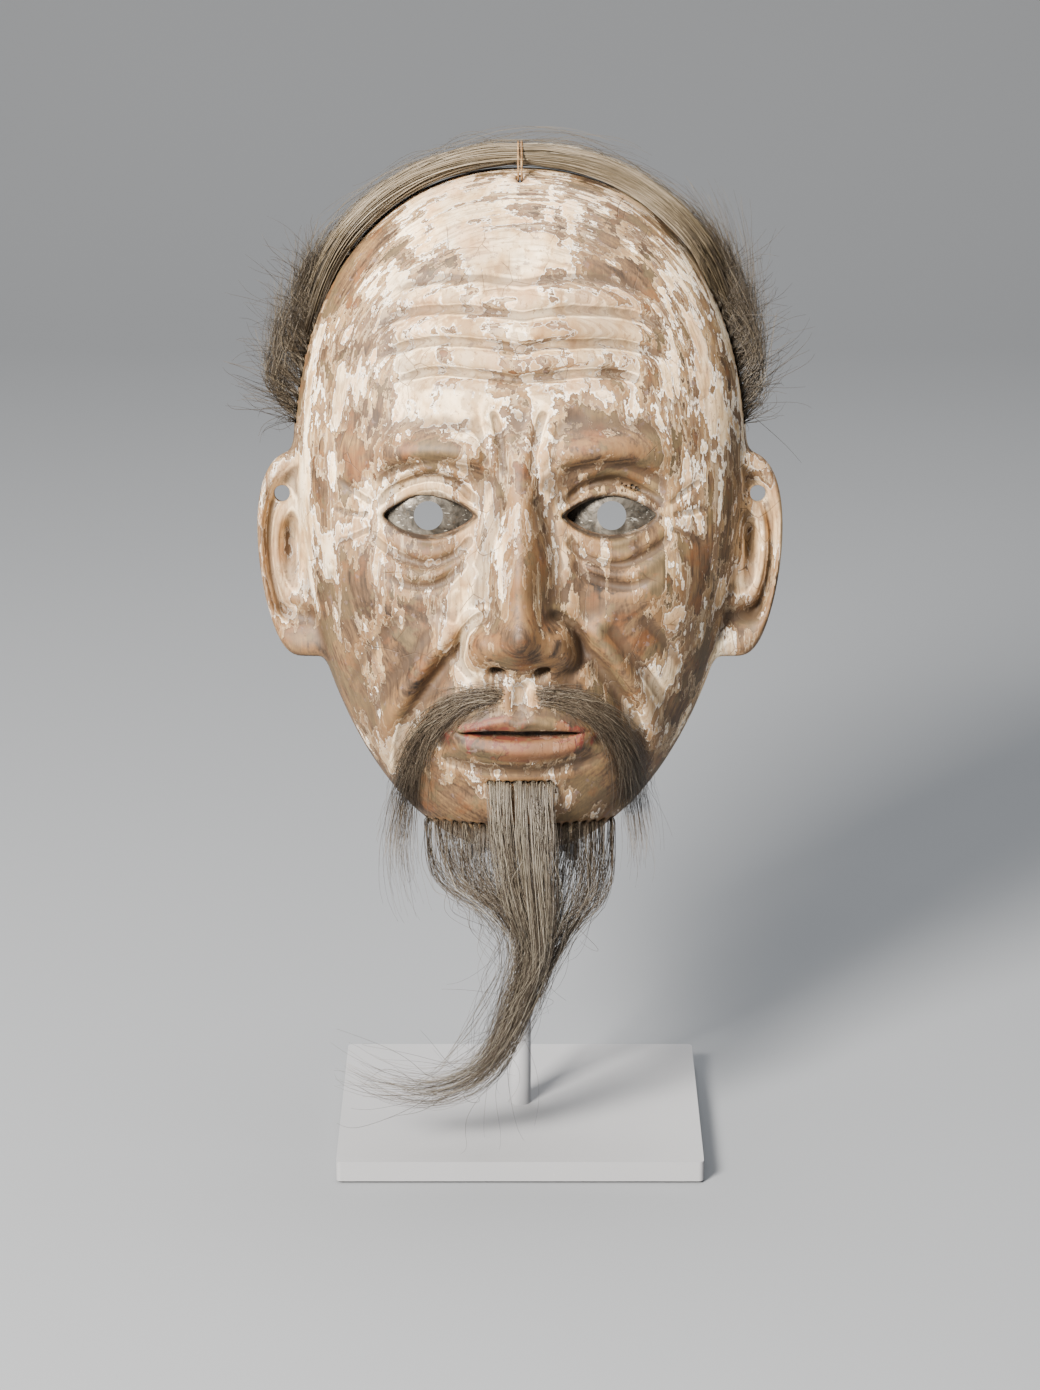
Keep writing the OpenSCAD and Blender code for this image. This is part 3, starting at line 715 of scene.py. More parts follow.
def mouth_slit(u, v, w):
    across = (v - MOUTH_V) * math.cos(MOUTH_TILT) + (w - mouth_w) * math.sin(MOUTH_TILT)
    return lens(u, across + 0.0012 * u * u, 40, MOUTH_H)


carve(field, (-22, MOUTH_V - 5, 22), (22, MOUTH_V + 9, 66), mouth_slit, 0.9)
drill(field, (0, 100, -3), (0, 100, 29), 1.2)
for count, root_of in ((LIP_TUFTS, lip_root), (CHIN_TUFTS, chin_root)):
    for i in range(count):
        root, way = root_of(i)
        drill(field, root - 15 * way, root + 3 * way, 1.0)


def surface_net(values):
    """Closed quad mesh of the surface where values change sign."""
    inside = values < 0
    corners = [(a, b, c) for a in (0, 1) for b in (0, 1) for c in (0, 1)]
    shape = np.array(values.shape) - 1
    count = np.zeros(shape, np.uint8)
    for a, b, c in corners:
        count += inside[a:a + shape[0], b:b + shape[1], c:c + shape[2]]
    active = (count > 0) & (count < 8)
    cells = np.argwhere(active)
    number = np.full(shape, -1, np.int64)
    number[active] = np.arange(len(cells))
    total, crossings = np.zeros((len(cells), 3)), np.zeros(len(cells))
    for axis in range(3):
        unit = np.eye(3, dtype=int)[axis]
        for corner in corners:
            if corner[axis]:
                continue
            start = cells + np.array(corner)
            end = start + unit
            f0, f1 = values[tuple(start.T)], values[tuple(end.T)]
            crossed = (f0 < 0) != (f1 < 0)
            t = np.where(crossed, f0 / np.where(crossed, f0 - f1, 1), 0)
            total += np.where(crossed[:, None], start + t[:, None] * unit, 0)
            crossings += crossed
    points = total / crossings[:, None]
    quads = []
    for axis in range(3):
        before = np.take(inside, range(values.shape[axis] - 1), axis)
        after = np.take(inside, range(1, values.shape[axis]), axis)
        edges = np.argwhere(before != after)
        p, q = [k for k in range(3) if k != axis]
        for k in (p, q):
            edges = edges[(edges[:, k] > 0) & (edges[:, k] < shape[k])]
        step_p, step_q = np.eye(3, dtype=int)[p], np.eye(3, dtype=int)[q]
        ring = [edges - step_p - step_q, edges - step_q, edges, edges - step_p]
        quad = np.stack([number[tuple(r.T)] for r in ring], 1)
        flip = before[tuple(edges.T)] == (axis == 1)
        quad[flip] = quad[flip][:, ::-1]
        quads.append(quad)
    return points, np.concatenate(quads)


def relaxed(points, quads, rounds, share):
    """Each point moves part of the way to the middle of its neighbours."""
    a = quads.ravel()
    b = np.roll(quads, -1, 1).ravel()
    start, end = np.concatenate([a, b]), np.concatenate([b, a])
    count = np.bincount(start, minlength=len(points))
    for _ in range(rounds):
        mean = np.stack([np.bincount(start, points[end, k], len(points)) / count for k in range(3)], 1)
        points = points + share * (mean - points)
    return points


def sample(values, u, v):
    """A map's values at points, between its grid lines."""
    x = np.clip((u - axis_u[0]) / GRID_STEP, 0, len(axis_u) - 1.001)
    y = np.clip((v - axis_v[0]) / GRID_STEP, 0, len(axis_v) - 1.001)
    i, j = x.astype(int), y.astype(int)
    fx, fy = x - i, y - j
    return ((values[i, j] * (1 - fy) + values[i, j + 1] * fy) * (1 - fx)
            + (values[i + 1, j] * (1 - fy) + values[i + 1, j + 1] * fy) * fx)


face_points, face_quads = surface_net(field)
face_points = relaxed(face_points, face_quads, 2, 0.45)
grid_place = tuple(np.clip(np.round(face_points).astype(int), 0, np.array(field.shape) - 1).T)
depth_from_hollow = np.abs(inner_field[grid_place])
depth_from_face = np.abs(face_field[grid_place])
face_points = face_points * GRID_STEP + np.array([axis_u[0], axis_v[0], axis_w[0]])
pu, pv, pw = face_points.T
is_inside = np.clip((depth_from_face - depth_from_hollow) / 2.0 + 0.5, 0, 1)

# Where the paint is thick or worn, from -1 to 1
cover_map = (0.26 * np.exp(-(map_u / 50) ** 2 - ((map_v - 70) / 30) ** 2)
             + 0.12 * np.exp(-((np.abs(map_u) - 40) / 15) ** 2 - ((map_v + 12) / 15) ** 2)
             - 0.22 * np.exp(-(map_u / 13) ** 2 - ((map_v + 30) / 18) ** 2)
             - 0.20 * np.exp(-((np.abs(map_u) - 28) / 18) ** 2 - ((map_v - 17) / 7) ** 2)
             - 0.10 * np.exp(-(map_u / 30) ** 2 - ((map_v + 84) / 12) ** 2)
             - 0.22 * smooth_step(map_v, 10, -60)
             + 0.32 * lattice_noise(map_u, map_v, 26, 8) + 0.16 * lattice_noise(map_u, map_v, 11, 9))
cavity_map = relief_map - blurred(relief_map, 2.6)
broad_map = relief_map - blurred(relief_map, 8.0)


def lip_mask(u, v):
    outer = lens(u, v - MOUTH_V + 0.4 + 0.0012 * u * u, 50, 14.5)
    notch = 1.6 * np.exp(-(u / 2.6) ** 2) * (v > -64)
    return np.clip((-(outer + notch)) / 0.9 + 0.5, 0, 1)


def eye_line(u, v):
    d = np.abs(lens(np.abs(u) - EYE[0], v - EYE[1], 28, 12))
    return np.clip(1.4 - d / 0.9, 0, 1)


def bulge_of(points, quads):
    """How far each point stands proud of the surface round it: positive on edges, negative in folds."""
    corner = points[quads]
    facing = np.cross(corner[:, 2] - corner[:, 0], corner[:, 3] - corner[:, 1])
    normal = np.zeros(points.shape)
    for c in range(4):
        for k in range(3):
            normal[:, k] += np.bincount(quads[:, c], facing[:, k], len(points))
    normal /= np.maximum(np.linalg.norm(normal, axis=1, keepdims=True), 1e-9)
    return ((points - relaxed(points, quads, 16, 0.6)) * normal).sum(1)


bulge = bulge_of(face_points, face_quads)
on_ear = smooth_step(np.abs(pu), 64, 68)
mask_attributes = {
    "mask_place": face_points * MM,
    "cover": sample(cover_map, pu, pv),
    "cavity": np.clip((1 - on_ear) * sample(cavity_map, pu, pv) / 1.1 + bulge / 0.28, -1, 1),
    "broad": np.clip(sample(broad_map, pu, pv) / 3.0, -1, 1),
    "inside": is_inside,
    "lips": lip_mask(pu, pv) * (1 - is_inside) * (pw > 30),
    "eye_line": eye_line(pu, pv) * (1 - is_inside) * (pw > 30),
    "streaks": np.clip(smooth_step(pv, 34, 14) + smooth_step(np.abs(pu), 50, 60), 0, 1),
}


def carved_wood():
    """Cypress, ground and shell-white paint in layers, worn through and flaking."""
    n = Nodes("carved_wood")
    n.coords = n.attribute("mask_place", "Vector")
    cover, cavity, broad, inside, lips, eye, streaky = (
        n.attribute(k) for k in ("cover", "cavity", "broad", "inside", "lips", "eye_line", "streaks"))
    height = n.stretch((0.06, 0.10, 1.0))
    # Bare wood: growth rings cut at a slant make contour lines round every raised form
    rings = n.noise(1.15, height, detail=5, rough=0.55, distortion=0.35)
    fibres = n.noise(0.7, n.stretch((1.0, 0.05, 1.0)), detail=5, rough=0.65)
    stain = n.noise(17, detail=7, rough=0.62)
    wood = n.ramp(n.add(n.times(rings, 0.40), n.times(fibres, 0.25), n.times(stain, 0.35)),
                  [(0.38, "1a110a"), (0.45, "3d2b19"), (0.5, "57402a"), (0.56, "6d5334"), (0.64, "8b6c42")])
    olive = n.step(n.noise(12, detail=6, rough=0.6), 0.53, 0.03)
    wood = n.over(wood, olive, 0.55, n.mix(fibres, "463a26", "6a5b3b"))
    rust = n.step(n.add(n.noise(10, detail=6, rough=0.6), n.times(broad, 0.05)), 0.59, 0.10)
    wood = n.over(wood, rust, 0.5, n.mix(fibres, "5c3615", "864f20"))
    # What decides how far the paint has worn: runs down the cheeks, contour lines over the forehead
    plain = n.inverse(streaky)
    runs = n.noise(4.4, n.stretch((1.0, 0.13, 0.6)), detail=5, rough=0.55)
    arcs = n.noise(1.6, n.stretch((0.07, 0.14, 1.0)), detail=5, rough=0.6, distortion=0.3)
    lines = n.add(n.times(runs, streaky), n.times(arcs, plain))
    patches = n.noise(25, n.stretch((1.0, 0.6, 1.0)), detail=8, rough=0.55, distortion=0.6)
    flakes = n.noise(6.5, n.stretch((1.0, 0.5, 1.0)), detail=8, rough=0.62)
    worn = n.add(n.times(patches, 0.46), n.times(flakes, 0.26), n.times(lines, 0.28))
    worn = n.add(worn, n.times(cover, 0.13), n.times(broad, -0.02))
    ground_mask = n.step(worn, 0.478, 0.007)
    paint_mask = n.step(worn, 0.518, 0.004)
    # Painted shadow: a thin dark line just outside the worn edge of the ground and of the paint; painted
    # highlight: a pale line along the edge of each layer
    ground_edge_shadow = n.band(worn, 0.470, 0.005, 0.476, 0.003)
    ground_rim_highlight = n.band(worn, 0.477, 0.004, 0.485, 0.006)
    paint_edge_shadow = n.band(worn, 0.514, 0.004, 0.519, 0.003)
    paint_rim_highlight = n.band(worn, 0.520, 0.004, 0.529, 0.008)
    tone = n.noise(8, n.stretch((1, 0.5, 1)), detail=7, rough=0.62)
    ground = n.ramp(tone, [(0.3, "43301d"), (0.46, "684d31"), (0.56, "8b6c46"), (0.7, "ad8d61")])
    paint = n.ramp(tone, [(0.28, "9c754a"), (0.42, "d2ae7e"), (0.55, "f3d9b0"), (0.75, "fff0d2")])
    pink = n.step(n.noise(15, detail=4), 0.55, 0.12)
    paint = n.over(paint, pink, 0.35, "d49d74")
    # Brush marks and scratches: fine lines that follow the same flow, some pale and some grey
    fine_runs = n.noise(1.3, n.stretch((1.0, 0.07, 0.7)), detail=4, rough=0.6)
    fine_arcs = n.noise(0.62, n.stretch((0.05, 0.10, 1.0)), detail=4, rough=0.6, distortion=0.25)
    fine = n.add(n.times(fine_runs, streaky), n.times(fine_arcs, plain))
    scraped = n.step(fine, 0.545, 0.04)
    thin = n.step(n.add(n.times(lines, 0.55), n.times(flakes, 0.45)), 0.5, 0.07)
    chips = n.step(n.noise(1.5, n.stretch((1, 0.5, 1)), detail=4, rough=0.7), 0.61, 0.02)
    paint = n.over(paint, n.inverse(thin), 0.35, "a5835b")
    paint = n.over(paint, scraped, 0.50, n.mix(tone, "6e5946", "9b7f5d"))
    paint = n.over(paint, chips, 0.7, "977a58")
    ground = n.over(ground, scraped, 0.45, "6f5a49")
    ground = n.over(ground, n.step(fine, 0.44, 0.03, 1.0, 0.0), 0.40, "cdb898")
    crack = n.inverse(n.step(n.cracks(9, n.stretch((1, 0.7, 1))), 0.008, 0.010))
    crack = n.times(crack, n.step(n.noise(22, detail=3), 0.55, 0.05))
    broken = n.add(n.times(flakes, 0.6), n.times(patches, 0.4))
    red = n.ramp(tone, [(0.3, "2e0905"), (0.5, "571611"), (0.7, "6e2c22")])
    red_mask = n.times(lips, n.step(broken, 0.485, 0.02))
    # The layers, from the wood up
    colour = n.mix(ground_mask, wood, ground)
    # Painted shadow and painted highlight at the ground's worn edge
    colour = n.over(colour, ground_edge_shadow, 0.65, "37261a")
    colour = n.over(colour, ground_rim_highlight, 0.5, "c4ad8a")
    colour = n.mix(paint_mask, colour, paint)
    # Painted shadow and painted highlight at the paint's worn edge
    colour = n.over(colour, paint_edge_shadow, 0.65, "4d3622")
    colour = n.over(colour, paint_rim_highlight, 0.8, "fdf5e8")
    colour = n.over(colour, red_mask, 0.85, red)
    colour = n.over(colour, crack, 0.75, "45321f")
    spots = n.step(n.noise(3.2, detail=5, rough=0.65), 0.635, 0.02)
    colour = n.over(colour, spots, 0.6, "6f5c56")
    specks = n.step(n.noise(0.8, detail=3, rough=0.8), 0.67, 0.03)
    colour = n.over(colour, specks, 0.5, "55402b")
    # Painted shade darkens the folds, mixed with settled dirt; handling rubs the high places down to warm
    # wood
    settled = n.noise(7, detail=6, rough=0.6)
    dirt_and_shade = n.step(n.add(n.times(cavity, -0.5), n.times(settled, 0.5)), 0.43, 0.28)
    colour = n.over(colour, dirt_and_shade, 0.70, n.mix(flakes, "1f150d", "533c26"))
    high = n.step(cavity, 0.30, 0.3)
    rubbed = n.times(n.step(n.add(n.times(patches, 0.5), n.times(flakes, 0.5)), 0.50, 0.015), high)
    colour = n.over(colour, rubbed, 0.55, n.mix(fine, "563a20", "8f683c"))
    smudge = n.step(n.noise(30, n.stretch((1, 0.6, 1)), detail=5, rough=0.5), 0.55, 0.14)
    colour = n.over(colour, smudge, 0.34, "4a3724")
    colour = n.over(colour, eye, 0.8, "2e2219")
    # The back: bare wood, rubbed with thin dark lacquer
    back_grain = n.noise(1.4, n.stretch((1.0, 0.04, 0.5)), detail=6, rough=0.6, distortion=0.3)
    back = n.ramp(n.add(n.times(back_grain, 0.6), n.times(stain, 0.4)),
                  [(0.38, "2f2118"), (0.47, "533c28"), (0.55, "74573a"), (0.64, "8f7150")])
    colour = n.mix(inside, colour, back)
    roughness = n.add(0.60, n.times(paint_mask, 0.12), n.times(fibres, 0.10), n.times(inside, -0.10))
    layers = n.add(n.times(paint_mask, 0.65), n.times(ground_mask, 0.35))
    layers = n.times(layers, n.inverse(inside))
    normal = n.bump(layers, 0.38, 0.9)
    grain = n.add(n.times(rings, 0.5), n.times(fibres, 0.3), n.times(flakes, 0.5), n.times(crack, -0.6))
    normal = n.bump(grain, 0.28, 0.55, normal)
    return n.finish(colour, roughness, normal)


mask = make_mesh("carved_face", to_world(face_points), face_quads, carved_wood(), attributes=mask_attributes)
wear(mask, "mask", "carved_wood", "mask_shell", "ear_left", "ear_right")

# ---- Horsehair ----


def unit(v):
    return v / np.maximum(np.linalg.norm(v, axis=-1, keepdims=True), 1e-9)


HAIR_LOW = np.array(cad_box[0]) / MM - (10, 8, 0)
HAIR_HIGH = np.array(cad_box[1]) / MM + (10, 5, 12)


def reined_in(lines):
    """Strays bend back before they leave the room round the CAD model that hair may take."""
    soft = 6.0
    over = np.maximum(lines - (HAIR_HIGH - soft), 0)
    under = np.maximum(HAIR_LOW + soft - lines, 0)
    return lines - over + soft * np.tanh(over / soft) + under - soft * np.tanh(under / soft)


class Hair:
    """Collects strands, then makes them into one mesh of fine three-sided tapering tubes."""

    def __init__(self):
        self.points, self.faces, self.shade, self.uv, self.count = [], [], [], [], 0

    def strands(self, lines, radius, shade, tip=0.35):
        """lines is strands x steps x 3 in the shared frame, mm. radius has one value a strand, and
        shade one a strand or a point."""
        lines = reined_in(lines)
        s, k = lines.shape[:2]
        along = unit(np.gradient(lines, axis=1))
        side = unit(np.cross(along, np.array([0.31, -0.87, 0.38])))
        other = np.cross(along, side)
        t = np.linspace(0, 1, k)[None, :]
        r = np.asarray(radius).reshape(-1, 1) * (1 - (1 - tip) * t ** 2)
        angles = np.radians([90, 210, 330])
        ring = (side[:, :, None] * np.cos(angles)[:, None] + other[:, :, None] * np.sin(angles)[:, None])
        points = lines[:, :, None] + ring * r[:, :, None, None]
        base = self.count + np.arange(s)[:, None, None] * 3 * k
        step = np.arange(k - 1)[None, :, None] * 3
        a = np.arange(3)[None, None, :]
        b = (a + 1) % 3
        low = base + step
        quads = np.stack([low + a, low + b, low + 3 + b, low + 3 + a], -1).reshape(-1, 4)
        tris = np.concatenate([quads[:, [0, 1, 2]], quads[:, [0, 2, 3]]])
        first = base[:, 0, 0][:, None] + np.array([0, 2, 1])
        last = base[:, 0, 0][:, None] + 3 * (k - 1) + np.array([0, 1, 2])
        self.points.append(points.reshape(-1, 3))
        self.faces += [tris, first, last]
        shades = np.broadcast_to(np.asarray(shade, float).reshape(s, -1, 1), (s, k, 3))
        self.shade.append(shades.ravel())
        place = np.broadcast_to(t[:, :, None], (s, k, 3))
        rank = np.argsort(np.argsort(shades[:, 0, 0]))[:, None, None] / max(1, s - 1)
        self.uv.append(np.stack([np.broadcast_to(rank, (s, k, 3)), place], -1).reshape(-1, 2))
        self.count += s * k * 3

    def scatter(self, rng, lines, radii, shade):
        """Strands with radii drawn from a range and shades drawn round a mean."""
        radius = rng.uniform(*radii, len(lines))
        self.strands(lines, radius, np.clip(rng.normal(*shade, len(lines)), 0, 1))

    def build(self, name, material):
        uv = np.concatenate(self.uv) * 0.98 + 0.01
        return make_mesh(name, np.concatenate(self.points), np.concatenate(self.faces), material,
                         attributes={"shade": np.concatenate(self.shade)}, uv=uv)


def wobble(rng, strands, steps, size, waves=(1.0, 2.3), grow=1.0):
    """Smooth side to side wandering of each strand, growing towards its tip."""
    t = np.linspace(0, 1, steps)[None, :, None]
    total = np.zeros((strands, steps, 3))
    for wave in waves:
        phase = rng.uniform(0, 2 * math.pi, (strands, 1, 3))
        rate = wave * rng.uniform(0.7, 1.3, (strands, 1, 3))
        push = rng.normal(0, size / wave, (strands, 1, 3))
        total += push * (np.sin(2 * math.pi * rate * t + phase) - np.sin(phase))
    return total * t ** grow


def disc(rng, count):
    """Points spread over a unit disc."""
    r, a = np.sqrt(rng.uniform(0, 1, count)), rng.uniform(0, 2 * math.pi, count)
    return np.stack([r * np.cos(a), r * np.sin(a)], -1)


CROWN_HAIR = horsehair("crown_hair", [(0.0, "2a2218"), (0.35, "5b4f3b"), (0.6, "786b58"), (1.0, "a09786")])
TEMPLE_HAIR = horsehair("temple_hair", [(0.0, "19140d"), (0.4, "372e22"), (0.7, "52483a"), (1.0, "6e6453")])
MOUSTACHE_HAIR = horsehair(
    "moustache_hair", [(0.0, "241c15"), (0.5, "4c4033"), (0.85, "6d6353"), (1.0, "837a6a")])
BEARD_HAIR = horsehair(
    "beard_hair", [(0.0, "1b150e"), (0.35, "382e23"), (0.6, "51483d"), (0.8, "6d6556"), (1.0, "898173")])

CROWN_LOCK_R = 3.2


def crown_lock(side, seed):
    """A combed lock from one temple, over the crown and tied at its middle."""
    rng = np.random.default_rng(seed)
    hair = Hair()
    depth = 11.6 if side < 0 else 5.0
    steps = 36
    angles = np.linspace(24, 150, steps)
    angles = angles if side > 0 else 180 - angles
    t = np.linspace(0, 1, steps)
    low_end = np.minimum(smooth_step(t, 0, 0.24), smooth_step(t, 1, 0.84))
    place, normal = outline_at(angles)
    place = place + (1.5 + 2.2 * low_end)[:, None] * normal
    centre = np.column_stack([place, TEMPLE_W - 3 + (depth - TEMPLE_W + 3) * low_end])
    outward = np.column_stack([normal, np.zeros(steps)])
    w_axis = np.array([0, 0, 1.0])
    pinch = 1 - 0.22 * np.exp(-((centre[:, 0] / 5) ** 2))
    width = CROWN_LOCK_R * pinch * (0.55 + 0.45 * smooth_step(t, 0, 0.12))
    width *= 0.5 + 0.5 * smooth_step(t, 1.0, 0.86)
    width *= 1 + 0.9 * smooth_step(t, 0.84, 1.0) + 0.5 * smooth_step(t, 0.16, 0.0)
    for bundle in range(13):
        ring = 0.0 if bundle == 0 else 0.72
        start = bundle * 2.4 + rng.normal(0, 0.3)
        turn = start + rng.uniform(0.5, 1.5) * t * side
        turn = turn + 0.5 * np.sin(2 * math.pi * (t * rng.uniform(0.8, 1.6) + rng.uniform()))
        path = centre + (width * ring * np.cos(turn))[:, None] * outward
        path = path + (width * ring * np.sin(turn))[:, None] * w_axis
        count = 52
        spot = disc(rng, count) * 1.25
        lines = path + spot[:, :1, None] * outward[None] + spot[:, 1:, None] * w_axis
        lines += wobble(rng, count, steps, 0.42, (1.5, 3.5, 6.0), 0.5)
        start, end = rng.uniform(0, 0.22, count), rng.uniform(0.78, 1.0, count)
        lines = resampled(lines, start, end)
        at = start[:, None] + (end - start)[:, None] * t[None, :]
        dull = 0.42 * smooth_step(at, 0.30, 0.08) + 0.42 * smooth_step(at, 0.76, 0.92)
        shade = rng.normal(0.48, 0.16) + rng.normal(0, 0.15, (count, 1)) - dull
        hair.strands(to_world(lines), rng.uniform(0.10, 0.16, count), np.clip(shade, 0, 1), 0.6)
    # Loose hairs lift away from the lock
    loose = 150
    spot = disc(rng, loose)
    start = rng.uniform(0.0, 0.75, loose)
    span = rng.uniform(0.16, 0.42, loose)
    aside = np.abs(spot[:, :1, None]) * outward[None] + spot[:, 1:, None] * w_axis
    lines = centre + width[None, :, None] * aside
    lines = resampled(lines, start, np.minimum(1, start + span))
    rise = np.linspace(0, 1, steps)[None, :, None] ** 1.8
    lift = rng.gamma(1.3, 2.8, (loose, 1, 1))
    lines = lines + rise * np.minimum(lift, 12) * outward[None] + wobble(rng, loose, steps, 1.3, (1.0, 2.0))
    hair.scatter(rng, to_world(lines), (0.06, 0.10), (0.12, 0.15))
    name = "left" if side < 0 else "right"
    wear(hair.build(f"crown_hair_{name}", CROWN_HAIR), "mask", "crown_hair", f"crown_lock_{name}")


def resampled(lines, start, end):
    """The part of each line from start to end, in shares of its length, with as many steps."""
    s, k = lines.shape[:2]
    place = (start[:, None] + (end - start)[:, None] * np.linspace(0, 1, k)[None, :]) * (k - 1)
    i = np.minimum(place.astype(int), k - 2)
    f = (place - i)[..., None]
    rows = np.arange(s)[:, None]
    return lines[rows, i] * (1 - f) + lines[rows, i + 1] * f


def temple_hair(side, seed):
    """Tufts planted along the temple sweep out of the wood and up; short ones frizz outwards."""
    rng = np.random.default_rng(seed)
    hair = Hair()
    for i in range(TEMPLE_TUFTS):
        root, way = temple_root(i, side)
        share = i / (TEMPLE_TUFTS - 1)
        angle = 15.5 + 26 * share
        count = 50 if side < 0 else 40
        steps = 14
        t = np.linspace(0, 1, steps)[None, :]
        reach = rng.uniform(13, 25) - 4 * share + (4 if side > 0 else 0)
        reach = reach * rng.uniform(0.5, 1.12, (count, 1))
        peak = rng.uniform(6.0, 10.0) + rng.normal(0, 1.1, (count, 1))
        tip = rng.normal(1.5 if side < 0 else 3.0, 3.2) - 2.0 * share + rng.normal(0, 2.2, (count, 1))
        offset = -1.5 + peak * smooth_step(t, 0, 0.42) + tip * t ** 2
        place, normal = outline_at(angle + reach * t ** 1.25)
        depth = TEMPLE_W + rng.normal(0, 1.5) * t + rng.normal(0, 1.3, (count, 1)) * t
        offset = np.maximum(offset, 0.5 * (t > 0.3) - 1.5)
        lines = np.concatenate([place + offset[..., None] * normal, depth[..., None]], -1)
        lines[..., 0] *= side
        spot = disc(rng, count)
        up = np.array([0, 1.0, 0])
        across = np.array([0, 0, 1.0])
        lines += (spot[:, :1] * 0.8 * up + spot[:, 1:] * 0.8 * across)[:, None] * (1 - 0.4 * t[..., None])
        lines += wobble(rng, count, steps, 0.8 if side < 0 else 0.6, (1.0, 2.3, 4.0))
        hair.scatter(rng, to_world(lines), (0.06, 0.10), (0.5, 0.24))
        frizz = 34 if side < 0 else 20
        spot = disc(rng, frizz)
        start = root + spot[:, :1] * up + spot[:, 1:] * across
        way_out = unit(way + rng.normal(0, 0.45, (frizz, 3)) + 0.5 * up)
        length = rng.gamma(4.0, 3.1, (frizz, 1)).clip(5, 26)
        bend = unit(rng.normal(0, 1, (frizz, 3)))
        curl = [start, start + 0.4 * length * way_out, start + 0.8 * length * way_out + 1.2 * bend,
                start + length * way_out + 4.5 * bend]
        lines = spline(np.stack(curl, 1), 10)
        hair.scatter(rng, to_world(lines), (0.07, 0.10), (0.22, 0.18))
    name = "left" if side < 0 else "right"
    wear(hair.build(f"temple_hair_{name}", TEMPLE_HAIR), "mask", "temple_hair", f"temple_tufts_{name}")


def moustache(side, seed):
    """Roots along an arc over the lip; the hairs lie outwards, then fall outside the mouth."""
    rng = np.random.default_rng(seed)
    hair = Hair()
    fall = np.array([
        (3.0, -51.5), (8, -51.8), (14, -53), (20, -56), (26, -61.5), (30.5, -69),
        (33, -78), (34.5, -88), (35.5, -98), (35, -108), (32.5, -117), (29.5, -123)], float)
    path = spline(np.pad(fall, ((0, 0), (0, 1))), 90)[:, :2]
    along = unit(np.gradient(path, axis=0))
    outside = np.column_stack([-along[:, 1], along[:, 0]])
    count = 640
    steps = 18
    longest = 1.0 if side < 0 else 0.84
    entry = rng.beta(1.0, 1.15, count) * 0.46
    length = rng.beta(2.0, 2.6, count) * 0.40 + 0.12
    is_long = rng.uniform(size=count) < 0.16
    finish = np.where(is_long, entry + (1 - entry) * rng.uniform(0.5, 1.0, count), entry + length)
    finish = np.minimum(finish, longest * rng.uniform(0.72, 1.0, count))
    t = np.linspace(0, 1, steps)[None, :]
    index = np.clip((entry[:, None] + (finish - entry)[:, None] * t) * 89, 0, 88.999)
    i = index.astype(int)
    f = (index - i)[..., None]
    flow = path[i] * (1 - f) + path[i + 1] * f
    normal = outside[i] * (1 - f) + outside[i + 1] * f
    at_root = rng.normal(0, 1.35, (count, 1))
    at_tip = at_root * 1.2 + rng.normal(0.9, 2.7, (count, 1))
    flow = flow + (at_root + (at_tip - at_root) * t ** 0.9)[..., None] * normal
    free = smooth_step(-flow[..., 1], 84, 100)
    ground = face_z(flow[..., 0], np.maximum(flow[..., 1], -93))
    hanging = 24.5 + 0.10 * (flow[..., 1] + 100) + rng.normal(0, 1.2, (count, 1))
    rise = 0.3 + rng.uniform(0.3, 2.6, (count, 1)) * np.sin(math.pi * np.minimum(t * 0.85 + 0.02, 1)) ** 0.8
    height = (ground + rise) * (1 - free) + hanging * free
    height -= 1.0 * (1 - np.minimum(1, t / 0.12))
    lines = np.concatenate([flow, height[..., None]], -1)
    lines += wobble(rng, count, steps, 0.8, (0.8, 1.9, 3.4))
    over_face = lines[..., 1] > -90
    floor_w = face_z(lines[..., 0], np.maximum(lines[..., 1], -93)) + 0.25
    lines[..., 2] = np.where(over_face & (t > 0.1), np.maximum(lines[..., 2], floor_w), lines[..., 2])
    lines[..., 0] *= side
    hair.scatter(rng, to_world(lines), (0.05, 0.085), (0.48, 0.22))
    name = "left" if side < 0 else "right"
    wear(hair.build(f"moustache_hair_{name}", MOUSTACHE_HAIR), "mask", "moustache_hair", f"moustache_{name}")


# The beard's line from the chin to its tip in the shared frame, mm: centre, half width and half depth
BEARD_LINE = np.array([
    (0, -37, 102.5, 28.0, 2.6), (2.4, -40.5, 96, 24, 3.0), (5.0, -42, 88, 16, 3.6),
    (5.6, -42.5, 79, 9.4, 4.0), (3.6, -42.5, 69, 6.0, 4.0), (-0.4, -41, 57, 4.8, 3.6),
    (-4.8, -40, 45.5, 3.8, 3.2), (-9.5, -39, 37, 3.4, 3.0), (-17, -38.5, 31, 3.4, 2.8),
    (-28, -38, 28, 3.2, 2.4), (-41, -38, 30.5, 2.6, 1.8), (-52, -38, 35.5, 1.6, 1.0),
])


